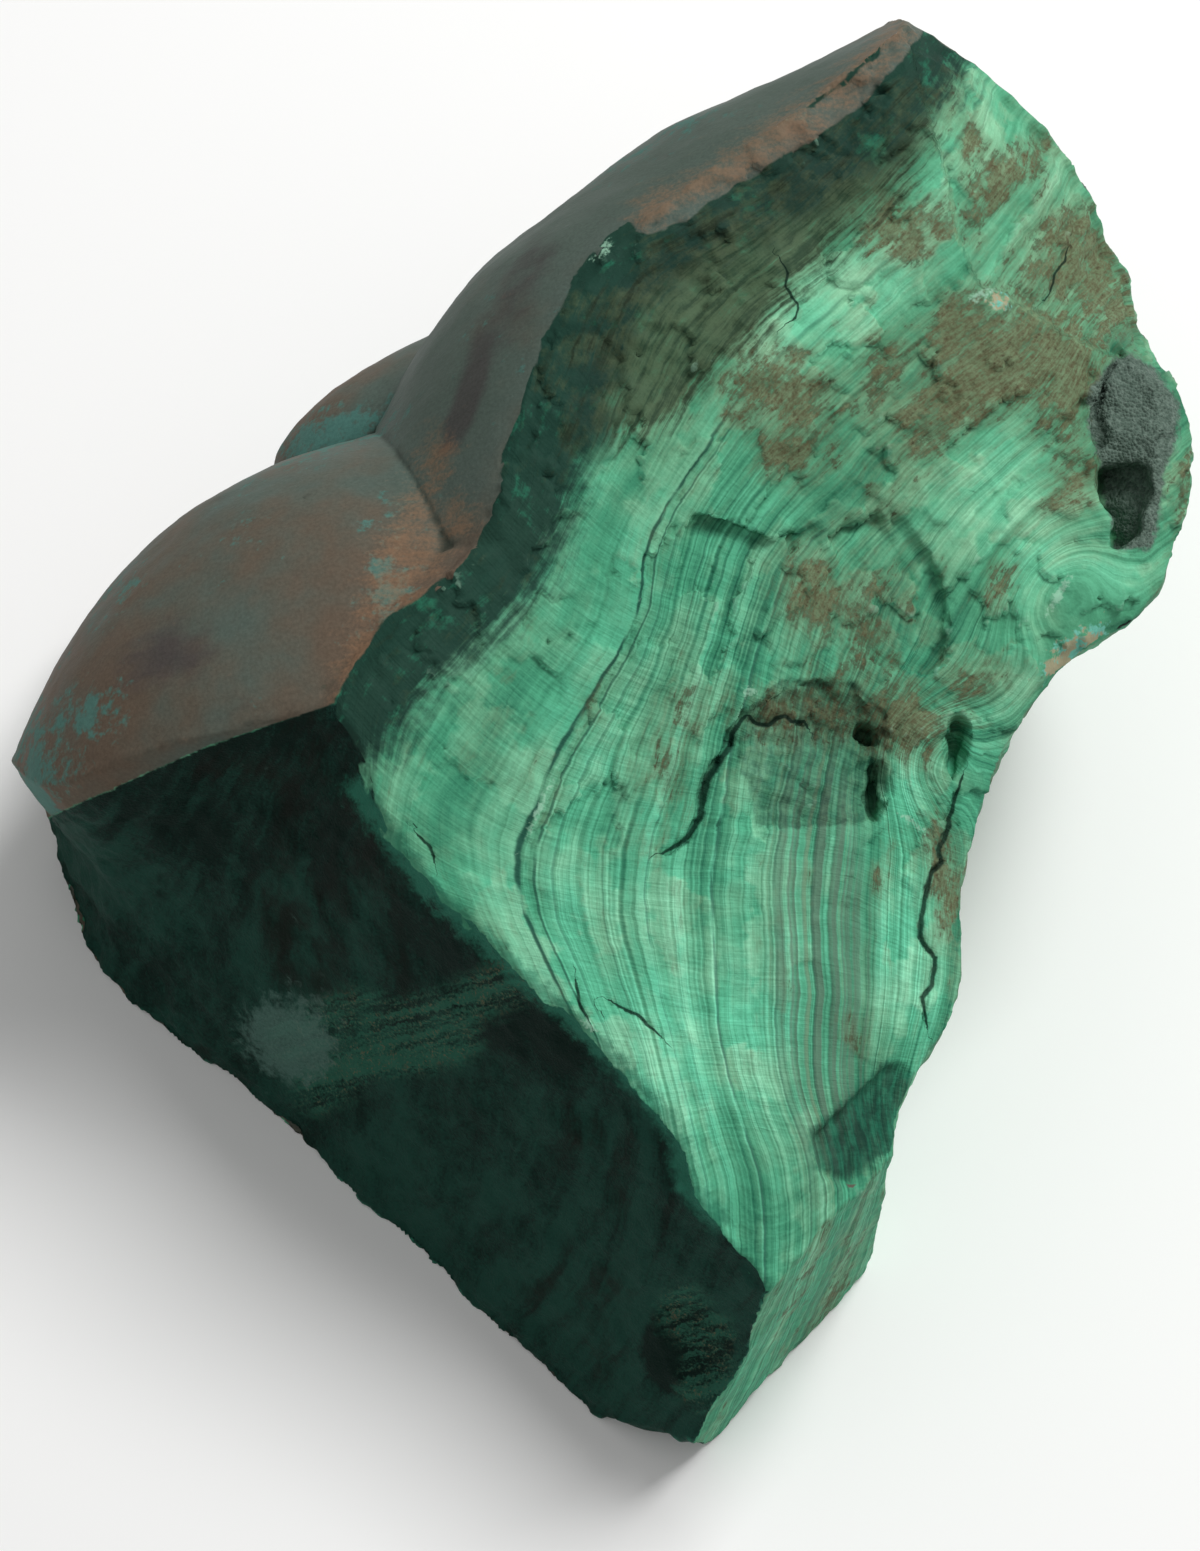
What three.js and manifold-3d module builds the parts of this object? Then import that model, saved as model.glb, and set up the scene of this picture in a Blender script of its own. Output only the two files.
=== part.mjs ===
// Raw malachite: one hand-sized chunk of banded copper ore, broken from a larger mass.
// Rounded lobes of weathered rind cover its upper left and its back. Fresh breaks bound the rest:
// the bright banded face, the dark left face, the bevel at the lower right, the right side, the undercut toe
// and the base that it rests on. Ledges, cracks, chips, pits and one open hollow mark them.
//
// The chunk is drawn in millimetres as it is seen from the front: x to the right, y up the banded face
// and z towards the eye. The group at the end tips that drawing back and stands it on its base, +Z up.

import * as THREE from "three";
import { ImprovedNoise } from "three/addons/math/ImprovedNoise.js";
import { mergeVertices } from "three/addons/utils/BufferGeometryUtils.js";
import Module from "manifold-3d";

const wasm = await Module();
wasm.setup();

const { degToRad, smoothstep } = THREE.MathUtils;

// Driving dimensions
const LEAN = degToRad(28); // how far the drawing is tipped back
const BASE_DROP = 45; // from the drawing's origin down to the resting face
const CHUNK_PLACE = new THREE.Vector3(0.8, -20.8, BASE_DROP); // the drawing's origin in the part's frame
const FACE_LEVEL = 5; // height of the banded face at the drawing's origin
const FACE_SLOPE = { x: -0.12, y: -0.18 }; // its fall to the right and upwards
const FACET_FALL = 0.42; // the further fall of its upper right facet, past the crease
const MARGIN = { width: 7, roll: 0.06 }; // how the banded face rolls off along its right edge
const SIDE = { brink: 24, taper: 0.14, fade: 12 }; // where the right side draws in, how fast, waves' start
const CROWN = { bend: 40, lean: degToRad(53), twist: 0.014 }; // the rind's bend over the face's top edge
const RIDGE_DEPTH = 32; // how far down the dark face its top ridge's wander fades out
const VEIN = { top: -3.3, lean: 0.26, step: 1.6, width: 4 }; // the step along the vein down the dark face
const LEFT_SWELL = { height: 12, start: 31, full: 47, brow: 28, foot: 56 }; // dark face below the left lobe
const LEFT_NOTCH = { depth: 5, start: 45, full: 62 }; // where it is broken back again, far down
const CUT_REACH = 30; // how far a scar or crack is cut above the face that it marks
const CRACK = { joints: 6, tip: 0.06 }; // steps along a crack, and the half gap at its closed ends
const BLOCK_SPAN = 300; // of the blocks that hold the breaks, well over the chunk's size

// Corners where the breaks meet, on the drawing
const APEX = new THREE.Vector3(31.2, 75.3, -12.3); // banded face, right side and crown of the rind
const CROWN_LEFT = new THREE.Vector3(-0.5, 51, -4.1); // banded face and crown, left end
const SHOULDER = new THREE.Vector3(-24.4, 7.2, 6.6); // banded face, dark face and rind
const TOE_CORNER = new THREE.Vector3(16, -48.5, 11.8); // banded face, dark face and bevel
const LEFT_CORNER = new THREE.Vector3(-56.8, -4.5, -35); // dark face and rind, far left
const BEVEL_TOP = new THREE.Vector3(27.9, -35.2, 8); // banded face, bevel and right side
const BEVEL_FOOT = new THREE.Vector3(25.6, -52.7, -23); // bevel and base
const TOE_LEFT = new THREE.Vector3(-10.1, -62.2, -18.5); // dark face and toe, left end
const TOE_TIP = new THREE.Vector3(8.9, -65.6, -6.9); // dark face, toe and bevel
const TOE_BACK = new THREE.Vector3(8.9, -71.6, -46.9); // under the toe, out of sight from the front

// Waves of each rough face: their height and size, and a seed that gives each face its own
const WAVES = {
  banded: { height: 0.5, size: 14, seed: 1 },
  dark: { height: 0.5, size: 17, seed: 3 },
  bevel: { height: 0.5, size: 11, seed: 5 },
  toe: { height: 0.6, size: 9, seed: 7 },
  side: { height: 1.4, size: 15, seed: 9 },
  crown: { height: 0.3, size: 12, seed: 11 },
};

// Ledges along the right side: how far past its brink they run, how they wander, how far they step in
// and over what run
const SIDE_LEDGES = [
  { at: 10, wander: { height: 9, size: 22, seed: 13 }, step: 2.4, run: 6 },
  { at: 27, wander: { height: 10, size: 22, seed: 13 }, step: 2.2, run: 6 },
];

// The broad old mass, which the crown bounds
const OLD_MASS = [
  { name: "mantle", centre: [57.4, -0.9, -42], radii: [89.9, 78.2, 57.3], turn: [2, 14, -28], detail: 18 },
  { name: "crown", centre: [24, 56, -30], radii: [30, 22, 28], turn: [0, 0, 37], detail: 9 },
];

// Lobes that swell out of it
const LOBES = [
  { name: "heart", centre: [15, -28, -35], radii: [67.4, 67.4, 67.4], detail: 13 },
  { name: "left lobe", centre: [-26, -2.5, -28], radii: [41.3, 33, 33], turn: [7.6, -7.5, 49], detail: 11 },
  { name: "left knuckle", centre: [-8, 39.3, -41], radii: [28.4, 10.6, 16.2], turn: [0, 0, 18], detail: 7 },
  { name: "back, middle", centre: [14, 42, -60], radii: [30, 26, 24], turn: [0, 0, 30], detail: 8 },
  { name: "back, right", centre: [36, 52, -62], radii: [24, 22, 24], detail: 7 },
  { name: "back, left", centre: [-12, 24, -64], radii: [27, 24, 20], turn: [0, 0, 25], detail: 7 },
  { name: "left, low", centre: [-36, 6, -50], radii: [22, 22, 22], detail: 7 },
];

// Pits and scoops: what is cut round, in the banded face, the dark face and the base
const PITS = [
  { name: "pit above the hollow", centre: [51.8, 42.2, -9.5], radii: [1.3, 1.2, 3.5], detail: 2 },
  { name: "slot by the recess", centre: [26.7, -1.6, 1], radii: [1, 3.3, 4.5], turn: [0, 0, -4], detail: 3 },
  { name: "cavity over the slot", centre: [25.7, 3.6, 0.5], radii: [1.5, 1.5, 4], detail: 3 },
  { name: "pit in the knob", centre: [34.5, 2.8, -0.5], radii: [1.3, 3.3, 4.5], turn: [0, 0, -8], detail: 3 },
  { name: "dark scoop", centre: [9.2, -57.2, 3], radii: [8, 8.5, 5], turn: [33.7, -41.1, 0], detail: 5 },
  { name: "base dish, middle", centre: [14, 1.7, -56.4], radii: [24, 15, 6], turn: [-28, 0, 20], detail: 5 },
  { name: "base dish, left", centre: [-17, -25, -42.4], radii: [15, 12, 6], turn: [-28, 0, 30], detail: 4 },
  { name: "base dish, back", centre: [24, 33, -72.4], radii: [14, 10, 5], turn: [-28, 0, 0], detail: 4 },
];

// Scars on the banded face: where a sheet has flaked off, and the two steps of the open hollow at its right
// edge. Each goes to its depth at its point `deep` and rises from there by `rise` per millimetre to the right
// and upwards.
const SCARS = [
  {
    name: "hollow, upper",
    outline: [[50.7, 41], [52.7, 41.4], [54.9, 39], [55.3, 36.7], [54.8, 30.7], [49.2, 30.7], [48.5, 37.6]],
    deep: [50, 34],
    depth: 3,
    rise: [0.35, 0],
  },
  {
    name: "hollow, lower",
    outline: [[49.2, 30.8], [54.8, 30.8], [54.5, 27.3], [53, 22.9], [50.3, 22.2], [50, 25.2], [48.9, 27.4]],
    deep: [50, 27],
    depth: 7.5,
    rise: [0.9, 0],
  },
  {
    name: "below the long ledge",
    outline: [[18, 34], [25, 28], [29, 26], [33, 20], [34, 15], [32, 9.5], [22, 12], [12, 20], [10, 30]],
    deep: [31, 18],
    depth: 1.1,
    rise: [-0.06, 0.01],
  },
  {
    name: "recess",
    outline: [[14, 6.2], [17.4, 9.4], [24.8, 9], [28, 5.6], [28.2, -1.6], [26.2, -5], [15, -5], [9.8, -5]],
    deep: [18, 6],
    depth: 1.2,
    rise: [0.02, -0.06],
  },
  {
    name: "under the middle flake",
    outline: [[9, 25.6], [16.5, 22.8], [21.4, 23.8], [25.4, 26], [27, 20], [18, 14], [8, 18]],
    deep: [18, 23],
    depth: 0.9,
    rise: [0, -0.1],
  },
  {
    name: "chip at the lower right",
    outline: [[20, -34.2], [24.9, -30.5], [27.6, -27.4], [31, -29], [29.5, -36], [24, -39.5], [20.6, -38.5]],
    deep: [23.5, -34],
    depth: 1.8,
    rise: [-0.12, 0.02],
  },
];

// Cracks in the banded face: a path on the drawing, the gap at its widest and how deep it goes
const CRACKS = [
  {
    name: "beside the recess",
    path: [[14.2, 6.1], [12.8, 3.6], [11.5, 1.2], [9.9, -2.3], [9.6, -5]],
    gap: 0.6,
    depth: 4,
  },
  {
    name: "right side, upper",
    path: [[35.1, 0.2], [33.6, -5.2], [33, -8.2], [31.6, -11.5], [31, -15.7]],
    gap: 0.6,
    depth: 4,
  },
  {
    name: "right side, lower",
    path: [[31.1, -15.9], [32.4, -17.8], [32.1, -20.3], [31, -22.5]],
    gap: 0.5,
    depth: 3,
  },
];

// How far right the banded face reaches at each height
const rightReach = through([
  [-70, 27], [-45, 27.9], [-35, 28.3], [-29.3, 30.3], [-23.6, 33.8], [-16, 35.4], [-12, 35], [-4.3, 37],
  [3.4, 40.1], [9.4, 44.2], [15.4, 53.3], [18.3, 55.9], [25.3, 58.1], [32.4, 59.4], [36.5, 58.8],
  [45, 55], [51, 54], [59.6, 49.9], [64.8, 46.9], [69, 42.2], [76, 32], [84, 18],
]);

// Where the crease of the upper right facet runs at each height. Below its start there is no facet.
const CREASE_START = 37;
const creaseLine = through([[CREASE_START, 62], [43, 47], [47, 38.1], [59, 33.9], [75, 31.2]]);

// How far the ridge between the banded and the dark face wanders off its straight line
const ridgeWander = through([
  [-35.3, 0], [-20.4, 3.2], [-9.1, 2.1], [5, -0.2], [18.4, -1.2], [22.1, 0.1], [35.3, 0],
]);

const grain = new ImprovedNoise();

/** Waves over a face, with a second set at half the height and size. */
function waves(x, y, { height, size, seed }) {
  const coarse = grain.noise(x / size, y / size, seed + 0.5);
  const fine = grain.noise((2 * x) / size, (2 * y) / size, -seed - 0.5);
  return height * (coarse + fine / 2);
}

/** A smooth curve y(x) through [x, y] points in rising order of x, level beyond both ends. */
function through(points) {
  const slope = (i) => {
    const before = points[Math.max(i - 1, 0)];
    const after = points[Math.min(i + 1, points.length - 1)];
    return (after[1] - before[1]) / (after[0] - before[0]);
  };
  return (x) => {
    const next = points.findIndex((point) => point[0] > x);
    if (next === 0) return points[0][1];
    if (next < 0) return points.at(-1)[1];
    const [x0, y0] = points[next - 1];
    const [x1, y1] = points[next];
    const t = (x - x0) / (x1 - x0);
    const blend = t * t * (3 - 2 * t);
    const lead = t * (1 - t) * (1 - t) * slope(next - 1);
    const trail = t * t * (1 - t) * slope(next);
    return y0 + blend * (y1 - y0) + (lead - trail) * (x1 - x0);
  };
}

/** A closed geometry as a solid that can be joined and cut. */
function solid(geometry) {
  const bare = geometry.clone().deleteAttribute("normal").deleteAttribute("uv");
  const merged = mergeVertices(bare);
  const vertProperties = merged.attributes.position.array;
  const triVerts = new Uint32Array(merged.index.array);
  return new wasm.Manifold(new wasm.Mesh({ numProp: 3, vertProperties, triVerts }));
}

/** A rounded lobe: a ball stretched to its radii, turned by degrees and moved to its centre. */
function lobe({ centre, radii, turn = [0, 0, 0], detail }) {
  const ball = new THREE.IcosahedronGeometry(1, detail);
  ball.scale(...radii);
  ball.applyMatrix4(new THREE.Matrix4().makeRotationFromEuler(new THREE.Euler(...turn.map(degToRad))));
  return solid(ball.translate(...centre));
}

/**
 * A break: a block whose top, its local +z, is a rough face through `centre`. Local x runs along `along`,
 * and `grid` is the spacing of the face's points. What lies inside the block is what the break leaves.
 */
function breakBlock({ centre, along, normal, grid, relief }) {
  const columns = Math.round(BLOCK_SPAN / grid[0]);
  const rows = Math.round(BLOCK_SPAN / grid[1]);
  const block = new THREE.BoxGeometry(BLOCK_SPAN, BLOCK_SPAN, BLOCK_SPAN, columns, rows, 1);
  block.translate(0, 0, -BLOCK_SPAN / 2);
  const spots = block.attributes.position;
  for (let i = 0; i < spots.count; i++) {
    if (spots.getZ(i) > -1) spots.setZ(i, relief(spots.getX(i), spots.getY(i)));
  }
  const z = normal.clone().normalize();
  const x = along.clone().addScaledVector(z, -along.dot(z)).normalize();
  const y = new THREE.Vector3().crossVectors(z, x);
  return solid(block.applyMatrix4(new THREE.Matrix4().makeBasis(x, y, z).setPosition(centre)));
}

/** The outward normal of the plane through three corners, listed anticlockwise as seen from outside. */
function planeNormal(a, b, c) {
  return new THREE.Plane().setFromCoplanarPoints(a, b, c).normal;
}

/** Height of the banded face's mean plane over the drawing's plane. */
function facePlane(x, y) {
  return FACE_LEVEL + FACE_SLOPE.x * x + FACE_SLOPE.y * y;
}

/** The bright banded face: its plane, the upper right facet past the crease and the rolled right margin. */
function bandedFace() {
  return breakBlock({
    centre: new THREE.Vector3(),
    along: new THREE.Vector3(1, 0, 0),
    normal: new THREE.Vector3(0, 0, 1),
    grid: [3, 3],
    relief: (x, y) => {
      const margin = Math.max(0, MARGIN.width - (rightReach(y) - x));
      const facet = y > CREASE_START ? Math.max(0, x - creaseLine(y)) : 0;
      const drop = MARGIN.roll * margin * margin + FACET_FALL * facet;
      return facePlane(x, y) - drop + waves(x, y, WAVES.banded);
    },
  });
}

/** The dark face below the ridge, with the step along its vein and its swell below the left lobe. */
function darkFace() {
  return breakBlock({
    centre: SHOULDER.clone().lerp(TOE_CORNER, 0.5),
    along: TOE_CORNER.clone().sub(SHOULDER),
    normal: planeNormal(SHOULDER, LEFT_CORNER, TOE_CORNER),
    grid: [4.2, 4.2],
    relief: (x, y) => {
      const nearRidge = smoothstep(y, -RIDGE_DEPTH, 0);
      const pastVein = smoothstep(VEIN.top + VEIN.lean * y - x, -VEIN.width / 2, VEIN.width / 2);
      const vein = VEIN.step * pastVein * (1 - nearRidge);
      const underLobe = smoothstep(-x, LEFT_SWELL.start, LEFT_SWELL.full);
      const swell = LEFT_SWELL.height * smoothstep(y, -LEFT_SWELL.foot, -LEFT_SWELL.brow);
      const notch = LEFT_NOTCH.depth * smoothstep(-y, LEFT_NOTCH.start, LEFT_NOTCH.full);
      return ridgeWander(x) * nearRidge + vein + underLobe * (swell - notch) + waves(x, y, WAVES.dark);
    },
  });
}

/** The narrow bevel at the lower right. */
function bevel() {
  return breakBlock({
    centre: TOE_CORNER.clone().lerp(BEVEL_TOP, 0.5),
    along: BEVEL_TOP.clone().sub(TOE_CORNER),
    normal: planeNormal(TOE_CORNER, BEVEL_FOOT, BEVEL_TOP),
    grid: [4, 4],
    relief: (x, y) => waves(x, y, WAVES.bevel),
  });
}

/** The undercut at the lowest corner. */
function toe() {
  return breakBlock({
    centre: TOE_LEFT.clone().lerp(TOE_TIP, 0.5),
    along: TOE_TIP.clone().sub(TOE_LEFT),
    normal: planeNormal(TOE_LEFT, TOE_BACK, TOE_TIP),
    grid: [5, 5],
    relief: (x, y) => waves(x, y, WAVES.toe),
  });
}

/** The right side: it follows the banded face's outline at first, then draws in towards the back. */
function rightSide() {
  return breakBlock({
    centre: new THREE.Vector3(),
    along: new THREE.Vector3(0, 0, -1),
    normal: new THREE.Vector3(1, 0, 0),
    grid: [5, 4],
    relief: (depth, y) => {
      const past = Math.max(0, depth - SIDE.brink);
      const ledges = SIDE_LEDGES.map(({ at, wander, step, run }) => {
        const line = at + waves(y, at, wander);
        return step * smoothstep(past - line, -run / 2, run / 2);
      });
      const inset = SIDE.taper * past + ledges.reduce((sum, next) => sum + next);
      return rightReach(y) - inset + waves(depth, y, WAVES.side) * smoothstep(past, 0, SIDE.fade);
    },
  });
}

/** The flat base, level once the drawing is tipped back. */
function base() {
  const down = new THREE.Vector3(0, -Math.sin(LEAN), -Math.cos(LEAN));
  return breakBlock({
    centre: down.clone().multiplyScalar(BASE_DROP),
    along: new THREE.Vector3(1, 0, 0),
    normal: down,
    grid: [BLOCK_SPAN / 4, BLOCK_SPAN / 4],
    relief: () => 0,
  });
}

/** The crown: the rind bends back from the banded face's top edge, and leans more towards the apex. */
function crown() {
  const edge = APEX.clone().sub(CROWN_LEFT).normalize();
  const eye = new THREE.Vector3(0, 0, 1).addScaledVector(edge, -edge.z).normalize();
  const away = new THREE.Vector3().crossVectors(eye, edge);
  return breakBlock({
    centre: CROWN_LEFT.clone().lerp(APEX, 0.5),
    along: edge,
    normal: eye.multiplyScalar(Math.cos(CROWN.lean)).addScaledVector(away, Math.sin(CROWN.lean)),
    grid: [6, 3],
    relief: (x, y) => {
      const back = Math.max(0, y);
      const bend = (back * back) / (2 * CROWN.bend) + CROWN.twist * Math.max(0, x) * back;
      return waves(x, y, WAVES.crown) - bend;
    },
  });
}

/** A prism over an outline on the drawing, from its floor up to well above the face. */
function prism(outline, floor) {
  const shape = new THREE.Shape(outline.map(([x, y]) => new THREE.Vector2(x, y)));
  const block = new THREE.ExtrudeGeometry(shape, { depth: 1, bevelEnabled: false });
  const spots = block.attributes.position;
  for (let i = 0; i < spots.count; i++) {
    const low = floor(spots.getX(i), spots.getY(i));
    spots.setZ(i, low + spots.getZ(i) * CUT_REACH);
  }
  return solid(block);
}

/** What a flake leaves: a shallow floor that rises from its deepest point. */
function scar({ outline, deep, depth, rise }) {
  const lift = (x, y) => rise[0] * (x - deep[0]) + rise[1] * (y - deep[1]);
  return prism(outline, (x, y) => facePlane(x, y) - depth + lift(x, y));
}

/** A crack: a sliver along its path, widest in the middle and closed at both ends. */
function crack({ path, gap, depth }) {
  const line = new THREE.SplineCurve(path.map(([x, y]) => new THREE.Vector2(x, y)));
  const left = [];
  const right = [];
  for (let i = 0; i <= CRACK.joints; i++) {
    const t = i / CRACK.joints;
    const spot = line.getPoint(t);
    const along = line.getTangent(t);
    const half = CRACK.tip + (gap / 2) * Math.sin(Math.PI * t);
    left.push([spot.x - along.y * half, spot.y + along.x * half]);
    right.unshift([spot.x + along.y * half, spot.y - along.x * half]);
  }
  return prism([...left, ...right], (x, y) => facePlane(x, y) - depth);
}

const join = (whole, next) => whole.add(next);
const oldMass = OLD_MASS.map(lobe).reduce(join).intersect(crown());
const mass = LOBES.map(lobe).reduce(join, oldMass);
const breaks = [bandedFace(), darkFace(), bevel(), toe(), rightSide(), base()];
const marks = [...PITS.map(lobe), ...SCARS.map(scar), ...CRACKS.map(crack)];
const chunk = breaks.reduce((left, face) => left.intersect(face), mass).subtract(marks.reduce(join));

const made = chunk.getMesh();
const geometry = new THREE.BufferGeometry();
geometry.setAttribute("position", new THREE.BufferAttribute(made.vertProperties, 3));
geometry.setIndex(new THREE.BufferAttribute(made.triVerts, 1));
geometry.computeVertexNormals();

const bandedGreen = new THREE.MeshStandardMaterial({ color: 0x4f9a72, roughness: 0.6, metalness: 0 });
const malachite = new THREE.Mesh(geometry, bandedGreen);
malachite.name = "malachite";

const group = new THREE.Group();
group.add(malachite);
group.rotation.x = LEAN;
group.position.copy(CHUNK_PLACE);

export default group;
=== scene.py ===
"""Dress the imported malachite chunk: broken relief, growth bands, stains and rind, in a soft studio.

The chunk's marks are placed on a drawing of it in millimetres: across, up the banded face and towards
the eye. Meshes are in metres in the part's own frame, +Z up.
"""

import itertools
import logging
import math
from dataclasses import dataclass
from enum import Enum, IntEnum

import bpy
import numpy as np
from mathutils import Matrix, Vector
from mathutils.kdtree import KDTree


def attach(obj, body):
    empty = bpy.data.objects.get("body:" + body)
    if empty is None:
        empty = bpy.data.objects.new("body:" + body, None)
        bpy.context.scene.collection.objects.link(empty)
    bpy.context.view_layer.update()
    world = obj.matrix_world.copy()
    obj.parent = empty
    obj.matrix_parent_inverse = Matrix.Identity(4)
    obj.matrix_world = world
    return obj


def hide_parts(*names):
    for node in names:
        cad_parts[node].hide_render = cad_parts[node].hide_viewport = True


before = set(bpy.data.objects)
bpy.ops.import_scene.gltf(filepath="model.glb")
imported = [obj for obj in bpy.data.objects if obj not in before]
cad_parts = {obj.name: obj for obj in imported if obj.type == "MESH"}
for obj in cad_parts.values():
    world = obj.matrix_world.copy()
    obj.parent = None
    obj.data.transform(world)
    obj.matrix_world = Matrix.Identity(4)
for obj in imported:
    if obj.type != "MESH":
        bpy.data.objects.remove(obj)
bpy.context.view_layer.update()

MM = 0.001
log = logging.getLogger("malachite")

Colour = tuple[float, float, float]
Spot = tuple[float, float]
Triple = tuple[float, float, float]
Array = np.ndarray


def smooth(values: Array, low: float, high: float) -> Array:
    """Return 0 below low, 1 above high and a soft step between them."""
    part = np.clip((values - low) / (high - low), 0.0, 1.0)
    return part * part * (3.0 - 2.0 * part)


def scattered(keys: Array) -> Array:
    """Return whole numbers that are well mixed from the keys."""
    keys = ((keys & 0x7FFFFFFF) ^ ((keys >> 13) & 0x3FFFF)) * 1103515245 & 0x7FFFFFFF
    return (keys ^ (keys >> 15)) * 48271 & 0x7FFFFFFF


@dataclass(frozen=True)
class Drawing:
    """The chunk as drawn from the front: the part's frame tipped forward, looked at from the eye."""

    lean: float = math.radians(28.0)
    place: Triple = (0.8, -20.8, 45.0)
    eye: float = 420.0

    def turned(self, vectors: Array) -> Array:
        """Turn vectors of the part's frame into the drawing.

        Args:
            vectors: n x 3 vectors.

        Returns:
            The same vectors as across, up and towards the eye.
        """
        cos, sin = math.cos(self.lean), math.sin(self.lean)
        across, back, up = vectors.T
        return np.column_stack((across, back * cos + up * sin, up * cos - back * sin))

    def drawn(self, points: Array) -> Array:
        """Return points of the part's frame, in millimetres, on the drawing."""
        return self.turned(points - np.array(self.place))

    def seen(self, points: Array) -> Array:
        """Return where drawn points are seen from the eye, with their height kept third."""
        near = self.eye / (self.eye - points[:, 2])
        return np.column_stack((points[:, 0] * near, points[:, 1] * near, points[:, 2]))


@dataclass(frozen=True)
class Grain:
    """Seeded gradient noise in space."""

    seed: int

    def at(self, points: Array, size: float) -> Array:
        """Evaluate one layer of noise.

        Args:
            points: n x 3 places.
            size: length of one wave, in the units of the points.

        Returns:
            n values of about -0.7 to 0.7.
        """
        place = np.ascontiguousarray(points.T) / size
        cell = np.floor(place).astype(np.int64)
        part = place - cell
        ease = part ** 3 * (part * (part * 6.0 - 15.0) + 10.0)
        total = np.zeros(len(points))
        for corner in itertools.product((0, 1), repeat=3):
            key = np.full(len(points), self.seed * 974634777, dtype=np.int64)
            weight = 1.0
            for axis, step in enumerate((374761393, 668265263, 1274126177)):
                key += (cell[axis] + corner[axis]) * step
                weight = weight * (ease[axis] if corner[axis] else 1.0 - ease[axis])
            key = scattered(key)
            for axis, low in enumerate((3, 11, 19)):
                slope = (key >> low & 255) / 127.5 - 1.0
                total += weight * slope * (part[axis] - corner[axis])
        return total

    def layered(self, points: Array, size: float, layers: int = 3, falloff: float = 0.5) -> Array:
        """Add layers of noise, each half the size of the last.

        Args:
            points: n x 3 places.
            size: length of the longest wave.
            layers: how many layers.
            falloff: how strong each layer is, beside the last.

        Returns:
            n values, about zero on the whole.
        """
        total = np.zeros(len(points))
        for layer in range(layers):
            total += falloff ** layer * Grain(self.seed + layer).at(points, size / 2 ** layer)
        return total


@dataclass(frozen=True)
class Flakes:
    """Seeded cells over a plane: the faces that small flakes have left."""

    seed: int

    def at(self, places: Array) -> tuple[Array, Array]:
        """Find the cell of each place.

        Args:
            places: n x 2 places, in cells.

        Returns:
            The cell's level, -1 to 1, and how far the place is up the cell's own tilt.
        """
        cell = np.floor(places).astype(np.int64)
        best = np.full(len(places), np.inf)
        level = np.zeros(len(places))
        tilt = np.zeros(len(places))
        for step in itertools.product((-1, 0, 1), repeat=2):
            corner = cell + np.array(step)
            key = scattered(corner @ np.array((374761393, 668265263)) + self.seed * 974634777)
            centre = corner + np.column_stack((key >> 3 & 255, key >> 11 & 255)) / 255.0
            offset = places - centre
            square = np.sum(offset ** 2, axis=1)
            nearer = square < best
            best = np.where(nearer, square, best)
            own = (key >> 19 & 255) / 127.5 - 1.0
            level = np.where(nearer, own, level)
            tilt = np.where(nearer, offset[:, 0] * np.cos(9.0 * own) + offset[:, 1] * np.sin(9.0 * own), tilt)
        return level, tilt


@dataclass(frozen=True)
class Path:
    """An open line on the drawing."""

    spots: tuple[Spot, ...]

    def measure(self, places: Array) -> tuple[Array, Array, Array]:
        """Measure places against the line.

        Args:
            places: n x 2 places on the drawing.

        Returns:
            The distance to the line, the side of it (1 on its left, -1 on its right) and the share of the
            line's length at the nearest point.
        """
        ends = np.array(self.spots)
        lengths = np.linalg.norm(np.diff(ends, axis=0), axis=1)
        starts = np.concatenate(([0.0], np.cumsum(lengths)))
        best = np.full(len(places), np.inf)
        side = np.ones(len(places))
        along = np.zeros(len(places))
        for index, length in enumerate(lengths):
            run = (ends[index + 1] - ends[index]) / length
            offset = places - ends[index]
            reach = np.clip(offset @ run, 0.0, length)
            gap = np.linalg.norm(offset - reach[:, None] * run, axis=1)
            nearer = gap < best
            best = np.where(nearer, gap, best)
            turn = run[0] * offset[:, 1] - run[1] * offset[:, 0]
            side = np.where(nearer, np.where(turn < 0.0, -1.0, 1.0), side)
            along = np.where(nearer, (starts[index] + reach) / starts[-1], along)
        return best, side, along


@dataclass(frozen=True)
class Outline:
    """A closed outline on the drawing."""

    spots: tuple[Spot, ...]

    def inside(self, places: Array) -> Array:
        """Measure places against the outline.

        Args:
            places: n x 2 places on the drawing.

        Returns:
            How far inside each one is; outside is below zero.
        """
        distance = Path(self.spots + self.spots[:1]).measure(places)[0]
        crossings = np.zeros(len(places), dtype=int)
        for (x0, y0), (x1, y1) in zip(self.spots, self.spots[1:] + self.spots[:1]):
            spans = (y0 > places[:, 1]) != (y1 > places[:, 1])
            rise = (y1 - y0) or 1.0
            crossings += spans & (places[:, 0] < x0 + (places[:, 1] - y0) * (x1 - x0) / rise)
        return np.where(crossings % 2 == 1, distance, -distance)


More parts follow.
